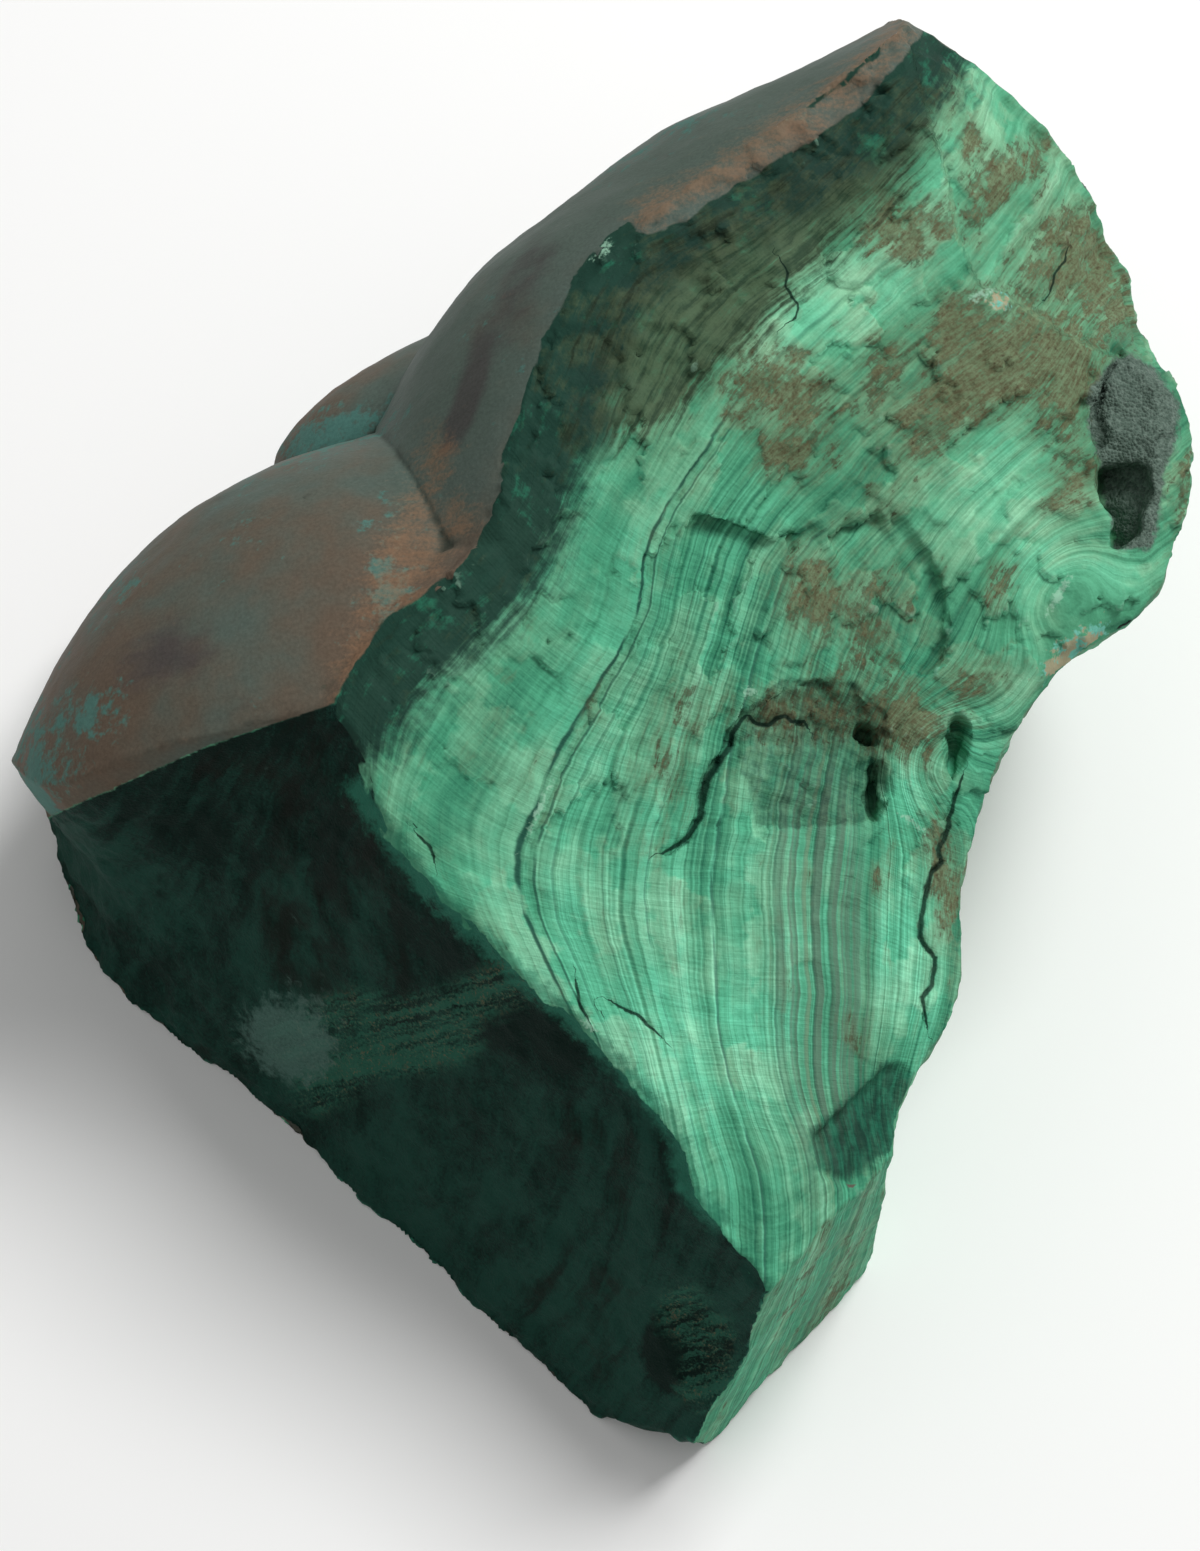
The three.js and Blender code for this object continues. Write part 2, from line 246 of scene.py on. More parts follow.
@dataclass(frozen=True)
class Contours:
    """A smooth field over the drawing that takes a set value along each of a few lines."""

    lines: tuple[tuple[float, tuple[Spot, ...]], ...]
    slack: float = 0.4

    @staticmethod
    def _bend(first: Array, second: Array) -> Array:
        """Return the thin plate's bending term between two sets of places."""
        square = np.sum((first[:, None, :] - second[None, :, :]) ** 2, axis=2)
        return square * np.log(np.maximum(square, 1e-9))

    def at(self, places: Array) -> Array:
        """Evaluate the field.

        Args:
            places: n x 2 places on the drawing.

        Returns:
            n values, bent as little as a thin plate through the lines.
        """
        knots = np.array([spot for _, spots in self.lines for spot in spots])
        wanted = np.array([value for value, spots in self.lines for _ in spots])
        flat = np.column_stack((np.ones(len(knots)), knots))
        bent = self._bend(knots, knots) + self.slack * np.eye(len(knots))
        system = np.block([[bent, flat], [flat.T, np.zeros((3, 3))]])
        weights = np.linalg.solve(system, np.concatenate((wanted, np.zeros(3))))
        blocks = [
            self._bend(block, knots) @ weights[:-3] + weights[-3] + block @ weights[-2:]
            for block in np.array_split(places, max(1, len(places) // 40000))
        ]
        return np.concatenate(blocks)


@dataclass(frozen=True)
class Blotch:
    """A soft oval spot on the drawing."""

    centre: Spot
    radii: Spot
    turn: float = 0.0
    weight: float = 1.0

    def at(self, places: Array) -> Array:
        """Work out the spot, which fades over its radii.

        Args:
            places: n x 2 places on the drawing.

        Returns:
            Its weight at each place.
        """
        angle = math.radians(self.turn)
        across, up = (places - np.array(self.centre)).T
        along = (across * math.cos(angle) + up * math.sin(angle)) / self.radii[0]
        over = (up * math.cos(angle) - across * math.sin(angle)) / self.radii[1]
        return self.weight * np.exp(-(along ** 2 + over ** 2) * 0.7)


@dataclass(frozen=True)
class Crack:
    """An open crack: its path, half its gap and how deep it goes."""

    path: Path
    gap: float
    depth: float

    def off(self, places: Array) -> Array:
        """Measure places against the crack, which closes at its ends.

        Args:
            places: n x 2 places on the drawing.

        Returns:
            How many half gaps each one is off, above zero on the left.
        """
        distance, side, along = self.path.measure(places)
        opening = self.gap * (0.2 + 0.8 * np.sqrt(np.clip(4.0 * along * (1.0 - along), 0.0, 1.0)))
        return side * distance / opening


@dataclass(frozen=True)
class Ledge:
    """A broken step: the face drops on the right of its path and rises again over its run."""

    path: Path
    drop: float
    run: float

    def at(self, places: Array) -> Array:
        """Work out the drop below the step.

        Args:
            places: n x 2 places on the drawing.

        Returns:
            How far the face drops at each place.
        """
        distance, side, along = self.path.measure(places)
        ends = smooth(along, 0.0, 0.12) * smooth(1.0 - along, 0.0, 0.12)
        return self.drop * ends * np.where(side > 0.0, 0.0, np.exp(-distance / self.run))


# Edges of the banded face on the drawing
RIND_EDGE = (
    (-25.0, 7.5), (-19.5, 15.0), (-14.0, 19.5), (-10.5, 24.5), (-8.0, 31.5), (-6.0, 36.5), (-3.5, 45.0),
    (-0.5, 50.5), (2.0, 52.5), (9.5, 57.0), (17.5, 61.5), (24.5, 66.0), (28.0, 69.5), (30.5, 73.0),
)
RIGHT_EDGE = (
    (40.0, 66.5), (47.0, 59.0), (51.5, 49.0), (53.5, 43.5), (57.5, 36.5), (58.5, 29.5), (54.5, 18.0),
    (49.5, 12.0), (43.5, 7.5), (39.0, -1.5), (35.5, -12.0), (35.5, -17.0), (34.0, -23.5), (29.0, -35.5),
)
BEVEL_EDGE = ((24.5, -38.5), (21.0, -43.0), (18.5, -47.0), (16.5, -50.0))
DARK_EDGE = (
    (11.5, -43.0), (8.5, -39.5), (8.0, -35.5), (4.0, -30.0), (-1.0, -25.0), (-6.0, -20.5), (-11.5, -15.5),
    (-15.5, -12.0), (-19.5, -7.0), (-23.5, -1.5),
)
LOBE_FOOT = ((-24.5, 7.5), (-38.0, 3.0), (-52.5, -3.5), (-64.0, -9.0))

# Growth of the bands, in millimetres in from the rind
GROWTH = Contours((
    (0.0, ((30.5, 73.0), (17.5, 61.5), (2.0, 52.5), (-4.0, 44.0), (-8.0, 31.5), (-10.5, 25.0), (-19.5, 15.0),
           (-25.0, 7.5), (-25.0, -2.5), (-21.5, -18.0))),
    (6.5, ((33.0, 66.0), (19.5, 52.5), (8.5, 43.0), (4.0, 35.5), (0.0, 28.5), (-3.5, 21.0), (-8.0, 14.0),
           (-14.0, 7.0), (-18.5, -2.5), (-19.0, -6.5))),
    (13.0, ((39.0, 60.0), (32.0, 53.0), (25.0, 47.0), (19.5, 42.5), (14.0, 36.5), (8.5, 29.0), (5.0, 22.5),
            (4.0, 16.0), (-1.0, 6.0), (-7.0, -6.5), (-7.5, -11.0), (-4.0, -20.5), (0.0, -27.5))),
    (28.0, ((48.5, 46.0), (41.0, 40.5), (32.0, 33.5), (24.5, 26.5), (19.5, 21.0), (15.5, 13.0), (14.0, 5.5),
            (11.0, -8.0), (11.5, -22.0), (13.0, -31.5), (16.0, -46.0))),
    (40.0, ((56.5, 36.5), (46.5, 31.5), (39.0, 25.0), (33.0, 17.0), (29.0, 7.5), (24.5, -7.0), (24.0, -22.0),
            (25.0, -36.5))),
    (50.0, ((53.5, 21.0), (44.5, 13.0), (37.5, 5.5), (34.0, -2.5), (32.0, -12.0), (31.5, -22.0),
            (29.5, -33.5))),
))

# Fibres across the bands: how far along the bands each fibre line lies
FIBRES = Contours((
    (0.0, ((30.5, 73.0), (39.0, 60.0), (48.5, 46.0), (56.5, 36.5))),
    (20.0, ((17.5, 61.5), (26.0, 48.0), (35.0, 36.5), (43.5, 28.5))),
    (40.0, ((2.0, 52.5), (14.0, 36.5), (24.5, 26.5), (33.0, 17.0))),
    (58.0, ((-7.0, 33.5), (5.0, 22.5), (17.5, 17.0), (29.5, 8.5))),
    (77.0, ((-15.5, 18.0), (-1.0, 6.0), (13.5, 1.5), (26.0, -2.5))),
    (92.0, ((-24.5, 7.5), (-7.0, -6.5), (11.5, -9.0), (24.5, -10.0))),
    (105.0, ((-23.5, -12.0), (-5.5, -18.0), (12.0, -22.0), (24.0, -23.0))),
    (124.0, ((-4.0, -46.0), (13.0, -36.5), (16.5, -41.0), (25.5, -37.5))),
))

# Small centres of growth, which the bands circle: where, how wide and how many millimetres of bands
EYES = (
    Blotch((32.5, 1.5), (4.2, 5.0), 15.0, 9.0),
    Blotch((44.5, 18.0), (5.5, 4.0), 50.0, 7.0),
    Blotch((51.0, 41.0), (4.5, 4.5), 0.0, 6.0),
)

CRACKS = (
    Crack(Path(((14.2, 6.1), (12.9, 4.3), (12.6, 2.8), (11.6, 1.3), (10.3, -0.5), (9.9, -2.3), (9.8, -3.9),
                (8.2, -6.4), (6.0, -7.6))), 0.40, 1.2),
    Crack(Path(((20.2, 4.5), (19.8, 5.2), (18.5, 5.2), (18.1, 5.7), (17.1, 5.5), (16.2, 4.9), (15.0, 5.1),
                (14.2, 6.1))), 0.26, 0.6),
    Crack(Path(((35.3, 0.2), (34.4, -2.3), (33.7, -5.2), (32.8, -7.3), (33.2, -8.4), (32.2, -9.4),
                (31.6, -11.5), (31.2, -13.6), (31.0, -15.7), (31.6, -16.6), (32.5, -17.8), (32.2, -20.3),
                (31.2, -21.6), (31.8, -24.5))), 0.30, 0.6),
    Crack(Path(((17.3, 50.4), (18.3, 48.9), (18.0, 47.5), (19.3, 45.6), (18.9, 44.4), (18.0, 43.8))),
          0.13, 0.4),
    Crack(Path(((45.5, 51.5), (45.2, 50.0), (44.1, 48.8), (43.9, 47.0), (43.0, 46.0))), 0.12, 0.4),
    Crack(Path(((1.0, -22.0), (4.0, -23.5), (6.0, -25.5))), 0.18, 0.4),
    Crack(Path(((-2.5, -19.5), (-2.0, -22.0), (-1.0, -24.0))), 0.18, 0.4),
    Crack(Path(((-18.0, -5.5), (-16.5, -7.0), (-16.0, -8.5))), 0.18, 0.4),
)

# The crease between the main face and the upper right facet, from the apex down
CREASE = Path((
    (30.4, 70.0), (31.6, 65.0), (34.0, 57.0), (34.8, 52.2), (36.8, 47.5), (39.5, 46.6), (44.2, 43.4),
    (48.0, 41.5),
))

# Where the rind laps over the crown's edge
LIP = Path(((5.0, 54.5), (9.5, 57.0), (17.5, 61.5), (24.5, 66.0), (28.0, 69.5), (30.5, 73.0)))

LEDGES = (
    Ledge(Path(((8.5, 25.5), (12.5, 24.5), (16.5, 23.0), (19.5, 24.0), (21.5, 25.0))), 0.9, 4.0),
    Ledge(Path(((22.0, 23.5), (24.5, 24.5), (27.0, 26.0))), 1.4, 2.5),
    Ledge(Path(((32.5, 10.0), (33.5, 13.0), (33.0, 18.0), (31.5, 22.0), (28.5, 26.0), (24.5, 29.0),
                (19.5, 32.5))), -0.2, 3.0),
    Ledge(Path(((-19.0, -6.0), (-18.0, -2.5), (-15.5, 4.0), (-12.5, 9.0), (-8.0, 14.0), (-4.0, 21.0),
                (0.0, 28.0))), 0.35, 4.0),
    Ledge(Path(((-4.0, -20.5), (-7.5, -11.0), (-7.0, -6.5), (-1.0, 6.0), (4.0, 16.0), (5.0, 22.5),
                (8.5, 29.0), (14.0, 36.5))), 0.45, 4.0),
)

STAINS = (
    Blotch((13.5, 38.0), (2.6, 4.0), -40.0, 0.9),
    Blotch((20.0, 37.0), (3.6, 3.6), -20.0, 1.0),
    Blotch((17.5, 31.0), (4.0, 2.6), -20.0, 0.85),
    Blotch((20.0, 18.0), (2.5, 3.2), 0.0, 0.9),
    Blotch((28.5, 53.0), (4.0, 3.6), 20.0, 1.15),
    Blotch((27.5, 40.5), (2.0, 3.4), -10.0, 0.95),
    Blotch((7.0, 0.0), (3.0, 5.5), 0.0, 0.7),
    Blotch((20.0, 6.0), (6.8, 3.0), 0.0, 0.9),
    Blotch((39.0, 19.0), (1.6, 3.2), -15.0, 0.9),
    Blotch((45.5, 28.0), (2.6, 3.4), 0.0, 0.95),
    Blotch((34.0, 44.5), (2.4, 3.8), -40.0, 0.95),
    Blotch((39.5, 58.0), (6.8, 1.9), 46.0, 1.25),
    Blotch((46.0, 51.0), (5.0, 4.0), 40.0, 1.0),
    Blotch((26.5, 14.5), (6.0, 7.0), 0.0, 0.6),
    Blotch((33.4, -10.0), (1.6, 7.0), 8.0, 0.95),
    Blotch((29.5, 4.2), (2.8, 2.6), 30.0, 1.05),
    Blotch((27.5, -9.0), (1.2, 5.0), -20.0, 0.7),
    Blotch((34.0, 36.5), (10.0, 4.0), 40.0, 0.9),
    Blotch((42.0, 38.5), (5.0, 5.0), 40.0, 0.75),
    Blotch((33.0, 67.0), (2.4, 4.4), 20.0, 1.1),
    Blotch((36.0, 61.0), (1.0, 1.6), 0.0, 0.9),
    Blotch((24.5, -25.5), (1.5, 2.2), 0.0, 0.65),
    Blotch((50.5, 45.5), (3.0, 5.0), 20.0, 0.9),
    Blotch((46.5, 37.0), (2.5, 5.0), 10.0, 0.9),
    Blotch((57.0, 27.0), (1.6, 6.0), -10.0, 0.95),
    Blotch((36.5, 9.0), (4.5, 2.5), 20.0, 0.75),
    Blotch((-9.0, 9.5), (1.4, 0.8), 40.0, 0.7),
    Blotch((-1.0, 6.5), (3.0, 1.2), 60.0, 0.6),
)
OLIVE_ZONES = (
    Blotch((10.5, 48.0), (15.0, 6.0), 38.0, 1.2),
    Blotch((5.0, 38.5), (8.0, 4.0), 48.0, 0.75),
    Blotch((27.0, 60.0), (8.0, 5.0), 40.0, 0.65),
)
FRESH_ZONES = (
    Blotch((3.0, -14.0), (15.0, 13.0), -45.0, 0.65),
    Blotch((8.0, -29.0), (7.0, 9.0), -30.0, 0.9),
    Blotch((29.0, -17.5), (2.6, 8.0), 4.0, 1.0),
    Blotch((30.0, -1.0), (2.2, 3.6), 0.0, 0.7),
    Blotch((26.0, 46.8), (9.5, 3.6), 41.0, 1.0),
    Blotch((39.0, 60.0), (8.0, 5.0), -60.0, 0.6),
    Blotch((40.5, 24.5), (5.5, 6.5), 40.0, 1.25),
    Blotch((50.0, 17.0), (6.0, 3.0), 50.0, 0.4),
    Blotch((-12.0, -1.0), (6.0, 9.0), -30.0, -0.5),
    Blotch((26.0, 15.5), (7.5, 5.5), 30.0, -0.6),
    Blotch((32.0, 36.0), (9.0, 3.0), 42.0, -0.35),
    Blotch((26.5, -33.0), (2.4, 4.6), -20.0, -1.3),
    Blotch((23.5, -36.5), (1.6, 3.0), -30.0, -1.0),
)
GREY_BANDS = (Blotch((21.5, -17.0), (4.2, 20.0), 2.0, 1.0),)
CRUSTS = (Blotch((46.0, 11.8), (4.2, 1.6), 40.0, 1.1), Blotch((38.5, 46.0), (1.4, 1.0), 0.0, 0.9))
SCUFFS = (
    Blotch((-5.8, -3.0), (4.8, 0.4), 65.0, 1.0),
    Blotch((36.9, 46.6), (1.8, 0.7), 20.0, 1.0),
    Blotch((44.6, 17.7), (2.6, 0.5), 60.0, 1.2),
    Blotch((0.0, 51.0), (1.6, 0.8), 35.0, 1.0),
    Blotch((-1.0, -24.2), (1.3, 0.7), -40.0, 1.0),
    Blotch((14.6, 8.2), (1.0, 0.8), 30.0, 0.9),
    Blotch((30.5, -4.6), (2.2, 0.5), -35.0, 0.9),
)
RECESS = Outline((
    (14.0, 6.2), (17.5, 9.5), (21.5, 9.5), (24.9, 9.1), (28.0, 5.6), (28.0, -1.6), (25.9, -4.8), (22.7, -5.0),
    (18.9, -5.2), (15.0, -5.0), (14.6, -1.5), (13.0, 2.0),
))
OPEN_HOLLOW = Outline((
    (49.6, 40.4), (51.6, 41.0), (54.2, 39.2), (56.2, 36.4), (56.0, 32.0), (54.8, 29.5), (54.4, 25.0),
    (53.6, 22.0), (50.0, 21.8), (49.6, 25.0), (48.7, 27.0), (48.6, 30.4), (47.4, 33.8), (47.2, 37.0),
))
CHIP = Outline((
    (20.0, -34.2), (24.9, -30.5), (27.6, -27.4), (31.0, -29.0), (29.5, -36.0), (24.0, -39.5), (20.6, -38.5),
))
COPPER_LINES = (
    Path(((-15.5, 31.5), (-16.5, 28.5), (-20.0, 21.0), (-22.0, 15.0), (-24.5, 8.5))),
    Path(((-22.5, 13.0), (-18.0, 20.0), (-13.5, 25.5))),
    Path(((4.5, 54.6), (11.9, 58.4), (20.7, 64.4), (26.1, 68.6), (28.8, 71.6))),
)
TEAL_BLOOMS = (
    Blotch((-50.0, 6.0), (4.0, 3.6), 0.0, 1.15),
    Blotch((-54.0, -1.0), (3.0, 3.6), 0.0, 1.15),
    Blotch((-27.0, 33.0), (9.0, 2.0), 20.0, 0.9),
    Blotch((-22.0, 26.5), (2.5, 2.0), 0.0, 0.8),
    Blotch((-20.5, 17.5), (1.2, 2.5), 20.0, 0.9),
    Blotch((0.0, 60.5), (10.0, 2.0), 28.0, 0.9),
)
SLATE_ZONES = (
    Blotch((-13.0, 38.0), (5.5, 13.0), -35.0, 1.0),
    Blotch((9.0, 63.0), (16.0, 4.0), 32.0, 1.5),
)
PLUM_SMUDGES = (
    Blotch((-13.0, 36.5), (1.4, 5.0), -20.0, 1.2),
    Blotch((-42.0, 12.0), (6.0, 4.0), 30.0, 0.9),
    Blotch((-8.0, 48.0), (3.0, 6.0), -30.0, 0.7),
)
VEINS = (
    Path(((-30.0, -25.6), (-24.0, -23.2), (-19.5, -24.2), (-14.5, -23.0), (-10.0, -20.6), (-6.0, -19.0))),
    Path(((-27.5, -30.5), (-22.0, -27.0), (-18.0, -26.6), (-14.0, -25.6))),
    Path(((8.0, -52.0), (11.0, -55.0), (10.0, -59.0), (13.0, -61.0))),
)
# The grey-green patch on the dark break, and a spot below zero that paints shade into the scoop at the toe
GREY_PATCH_AND_SCOOP_SHADE = (
    Blotch((-30.5, -25.8), (4.6, 3.4), -35.0, 1.4),
    Blotch((8.3, -55.8), (3.6, 3.6), 0.0, -1.4),
)


class Seed(IntEnum):
    """The seeds of the noises, one for each use."""

    WOBBLE_ACROSS = 11
    WOBBLE_UP = 21
    TERRACES = 31
    HAIRS = 41
    UNEVEN = 51
    SHELL = 61
    DARK = 71
    SIDE = 81
    SWELL = 91
    RIND = 95
    DRUSE = 101
    RECESS = 103
    RUBBLE = 107
    CHIPS = 111
    RAGGED_X = 131
    RAGGED_Y = 141
    RAGGED_Z = 151
    FLAKES = 161


class Break(Enum):
    """The broken faces that are flat enough to know by three of their corners on the drawing."""

    DARK = ((-24.4, 7.2, 6.6), (-56.8, -4.5, -35.0), (16.0, -48.5, 11.8))
    BEVEL = ((27.9, -35.2, 8.0), (16.0, -48.5, 11.8), (25.6, -52.7, -23.0))
    TOE = ((-10.1, -62.2, -18.5), (8.9, -71.6, -46.9), (8.9, -65.6, -6.9))

    @property
    def facing(self) -> Array:
        """Find the way out of the break.

        Returns:
            The unit vector, on the drawing.
        """
        first, second, third = (np.array(corner) for corner in self.value)
        out = np.cross(second - first, third - first)
        return out / np.linalg.norm(out)


@dataclass(frozen=True)
class BandedPlane:
    """The banded face's mean plane: its height at the drawing's origin and its fall right and up."""

    level: float = 5.0
    fall: Spot = (-0.12, -0.18)

    @property
    def facing(self) -> Array:
        """Return the unit vector out of the face, on the drawing."""
        out = np.array((-self.fall[0], -self.fall[1], 1.0))
        return out / np.linalg.norm(out)

    def depth(self, drawn: Array) -> Array:
        """Return how far below the face each drawn point is."""
        return self.level + drawn[:, :2] @ np.array(self.fall) - drawn[:, 2]


class Skin:
    """A mesh's vertices as arrays in millimetres, with the edges between them."""

    def __init__(self, mesh: bpy.types.Mesh) -> None:
        """Read the mesh's vertices and edges.

        Args:
            mesh: the mesh, in metres.
        """
        self.mesh = mesh
        self.count = len(mesh.vertices)
        ends = np.empty(len(mesh.edges) * 2, dtype=np.int32)
        mesh.edges.foreach_get("vertices", ends)
        ends = ends.reshape(-1, 2)
        owners = np.concatenate((ends[:, 0], ends[:, 1]))
        order = np.argsort(owners, kind="stable")
        self.others = np.concatenate((ends[:, 1], ends[:, 0]))[order]
        self.degree = np.bincount(owners, minlength=self.count)
        self.starts = np.concatenate(([0], np.cumsum(self.degree)[:-1]))

    @property
    def points(self) -> Array:
        """Read the vertices' places.

        Returns:
            n x 3 places in millimetres.
        """
        flat = np.empty(self.count * 3)
        self.mesh.vertices.foreach_get("co", flat)
        return flat.reshape(-1, 3) / MM

    @points.setter
    def points(self, places: Array) -> None:
        """Move the vertices to places given in millimetres."""
        self.mesh.vertices.foreach_set("co", (places * MM).ravel())
        self.mesh.update()

    @property
    def normals(self) -> Array:
        """Read the vertices' normals.

        Returns:
            n x 3 unit vectors.
        """
        flat = np.empty(self.count * 3)
        self.mesh.vertices.foreach_get("normal", flat)
        return flat.reshape(-1, 3)

    def blurred(self, values: Array, rounds: int) -> Array:
        """Move each vertex's values half way to its neighbours' mean, round after round.

        Args:
            values: one row of numbers a vertex.
            rounds: how often.

        Returns:
            The blurred values.
        """
        for _ in range(rounds):
            around = np.add.reduceat(values[self.others], self.starts, axis=0) / self.degree[:, None]
            values = 0.5 * values + 0.5 * around
        return values

    def bulge(self, rounds: int) -> Array:
        """Return how far each vertex stands out of the surface around it, in millimetres."""
        points = self.points
        return np.sum((points - self.blurred(points, rounds)) * self.normals, axis=1)

    def polish(self, rounds: int, plain: float, sharp: float) -> None:
        """Smooth facets away and keep the edges between faces.

        Args:
            rounds: how much the plain parts are smoothed.
            plain: the bulge below which a part is smoothed fully, in millimetres.
            sharp: the bulge above which it is only rounded a little.
        """
        keep = smooth(np.abs(self.bulge(12)), plain, sharp)[:, None]
        keep = np.clip(self.blurred(keep, 6) * 1.6, 0.0, 1.0)
        slight = self.blurred(self.points, 4)
        self.points = slight * keep + self.blurred(slight, rounds) * (1.0 - keep)

    def write(self, name: str, values: Array) -> None:
        """Store values on the vertices.

        Args:
            name: the layer's name.
            values: three columns, stored as vectors, or four, stored as colours.
        """
        kind, key = ("FLOAT_VECTOR", "vector") if values.shape[1] == 3 else ("FLOAT_COLOR", "color")
        layer = self.mesh.attributes.new(name, kind, "POINT")
        layer.data.foreach_set(key, values.astype(np.float32).ravel())


@dataclass
class Zones:
    """How far each vertex belongs to each kind of surface, 0 to 1."""

    face: Array
    dark: Array
    bevel: Array
    side: Array
    base: Array
    rind: Array


@dataclass(frozen=True)
class Relief:
    """How far each kind of fine relief goes, in millimetres; the facet's slope is a share."""

    terraces: float = 0.34
    hairs: float = 0.05
    flake_level: float = 0.28
    flake_tilt: float = 0.50
    uneven: float = 0.5
    facet_slope: float = 0.09
    facet_drop: float = 0.9
    dark_grain: float = 0.9
    dark_shell: float = 0.8
    dark_lift: float = 0.15
    side_grain: float = 0.7
    rind_swell: float = 0.5
    rind_grain: float = 0.10
    druse: float = 0.5
    rubble: float = 0.35
    rubble_grain: float = 1.1
    recess_grain: float = 0.55
    ragged: float = 0.30
    blunted: float = 0.1
    chipped: float = 0.55
    band_step: float = 2.6


@dataclass
class MalachiteStone:
    """The chunk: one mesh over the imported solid, with its relief, and the marks that its finish reads."""

    name: str = "malachite_stone"
    node: str = "malachite"
    body: str = "root"
    voxel: float = 0.4
    triangles: int = 190_000
    drawing: Drawing = Drawing()
    plane: BandedPlane = BandedPlane()
    relief: Relief = Relief()

    def _meshed(self, source: bpy.types.Object) -> bpy.types.Object:
        """Make a fine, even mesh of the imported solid.

        Args:
            source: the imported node's object.

        Returns:
            A new object with the fine mesh.
        """
        piece = bpy.data.objects.new(self.name, source.data.copy())
        bpy.context.scene.collection.objects.link(piece)
        remesh = piece.modifiers.new("fine mesh", "REMESH")
        remesh.mode = "VOXEL"
        remesh.voxel_size = self.voxel * MM
        self._apply(piece)
        return piece

    @staticmethod
    def _apply(piece: bpy.types.Object) -> None:
        """Replace a piece's mesh by what its modifiers make of it.

        Args:
            piece: the piece, which loses its modifiers.
        """
        graph = bpy.context.evaluated_depsgraph_get()
        made = bpy.data.meshes.new_from_object(piece.evaluated_get(graph))
        piece.modifiers.clear()
        old = piece.data
        piece.data = made
        bpy.data.meshes.remove(old)

    def _zones(self, points: Array, normals: Array) -> Zones:
        """Tell the kinds of surface apart by where they lie and how they face.

        Args:
            points: vertices in millimetres.
            normals: their normals.

        Returns:
            The zones, which add up to one.
        """
        drawn = self.drawing.drawn(points)
        facing = self.drawing.turned(normals)
        seen = self.drawing.seen(drawn)[:, :2]
        depth = self.plane.depth(drawn)
        inside = Outline(RIND_EDGE + RIGHT_EDGE + BEVEL_EDGE + DARK_EDGE).inside(seen)
        score = np.clip(inside, -2.0, 2.0) * 0.5 + 3.0 * (facing @ self.plane.facing - 0.62)
        face = np.maximum(smooth(score, -0.4, 0.4), smooth(inside, 1.5, 3.5) * smooth(-depth, -17.0, -13.0))
        face *= smooth(inside, -3.5, -2.0)
        base = smooth(-normals[:, 2], 0.85, 0.95) * smooth(-points[:, 2], -2.0, -0.6)
        foot = Path(LOBE_FOOT).measure(seen)
        below = smooth(foot[0] * foot[1], -0.4, 0.6)
        toe = smooth(facing @ Break.TOE.facing, 0.6, 0.8) * smooth(-drawn[:, 1], 40.0, 50.0)
        dark = np.maximum(below * smooth(facing @ Break.DARK.facing, 0.15, 0.35), toe)
        bevel = smooth(facing @ Break.BEVEL.facing, 0.55, 0.75) * smooth(-drawn[:, 1], 26.0, 32.0)
        side = smooth(facing[:, 0], 0.22, 0.42) * smooth(-facing[:, 1], -0.62, -0.42)
        claims = {"face": face, "base": base, "bevel": bevel, "dark": dark, "side": side}
        left = 1.0
        shares = {}
        for name, claim in claims.items():
            shares[name] = claim * left
            left = left * (1.0 - claim)
        return Zones(**shares, rind=left)

    def _growth(self, drawn: Array) -> Array:
        """Place points in the bands.

        Args:
            drawn: n x 3 points on the drawing.

        Returns:
            Their growth, their place along the bands and their depth below the face.
        """
        seen = self.drawing.seen(drawn)[:, :2]
        depth = self.plane.depth(drawn)
        across = GROWTH.at(seen) + sum(eye.at(seen) for eye in EYES)
        beyond = CREASE.measure(seen)[1] > 0.0
        across += self.relief.band_step * beyond * smooth(seen[:, 1], 38.0, 41.0)
        along = FIBRES.at(seen)
        deep = np.maximum(depth, 0.0)
        return np.column_stack((across + 0.32 * deep, along + 0.25 * deep, depth))

    def _relief(self, points: Array, normals: Array) -> Array:
        """Work out how far the surface stands out from or lies below the plain solid.

        Args:
            points: vertices in millimetres.
            normals: their normals.

        Returns:
            Heights in millimetres, outwards.
        """
        zones = self._zones(points, normals)
        drawn = self.drawing.drawn(points)
        seen = self.drawing.seen(drawn)[:, :2]
        growth = self._growth(drawn)
        marked, jagged = self._loosened(points, seen)
        relief = self.relief
        broken = zones.face + 0.9 * zones.side + 0.8 * zones.bevel
        hollow = smooth(OPEN_HOLLOW.inside(seen), -0.5, 0.5)

        # Growth steps, fibres and flakes of the broken faces, with the ledges and the facet past the crease
        steps = np.column_stack((growth[:, 0] / 1.7, growth[:, 1] / 16.0, np.full(len(points), 0.5)))
        terraces = relief.terraces * Grain(Seed.TERRACES).layered(steps, 1.0, 2)
        hairs = np.column_stack((growth[:, 1] / 0.9, growth[:, 0] / 6.0, np.full(len(points), 2.5)))
        heights = broken * (terraces + relief.hairs * Grain(Seed.HAIRS).layered(hairs, 1.0, 2))
        level, tilt = self._flakes(points, growth)
        flaky = (zones.face + 0.4 * zones.side) * (1.0 - 0.75 * smooth(growth[:, 1], 80.0, 96.0))
        uneven = broken * relief.uneven * Grain(Seed.UNEVEN).layered(points, 9.0, 3)
        heights += flaky * (relief.flake_level * level + relief.flake_tilt * tilt) + uneven
        heights -= sum(ledge.at(marked) for ledge in LEDGES) * zones.face
        fold, side, _ = CREASE.measure(marked)
        fall = np.where(side > 0.0, np.minimum(fold * relief.facet_slope, relief.facet_drop), 0.0)
        heights -= fall * zones.face * smooth(seen[:, 1], 38.0, 46.0)

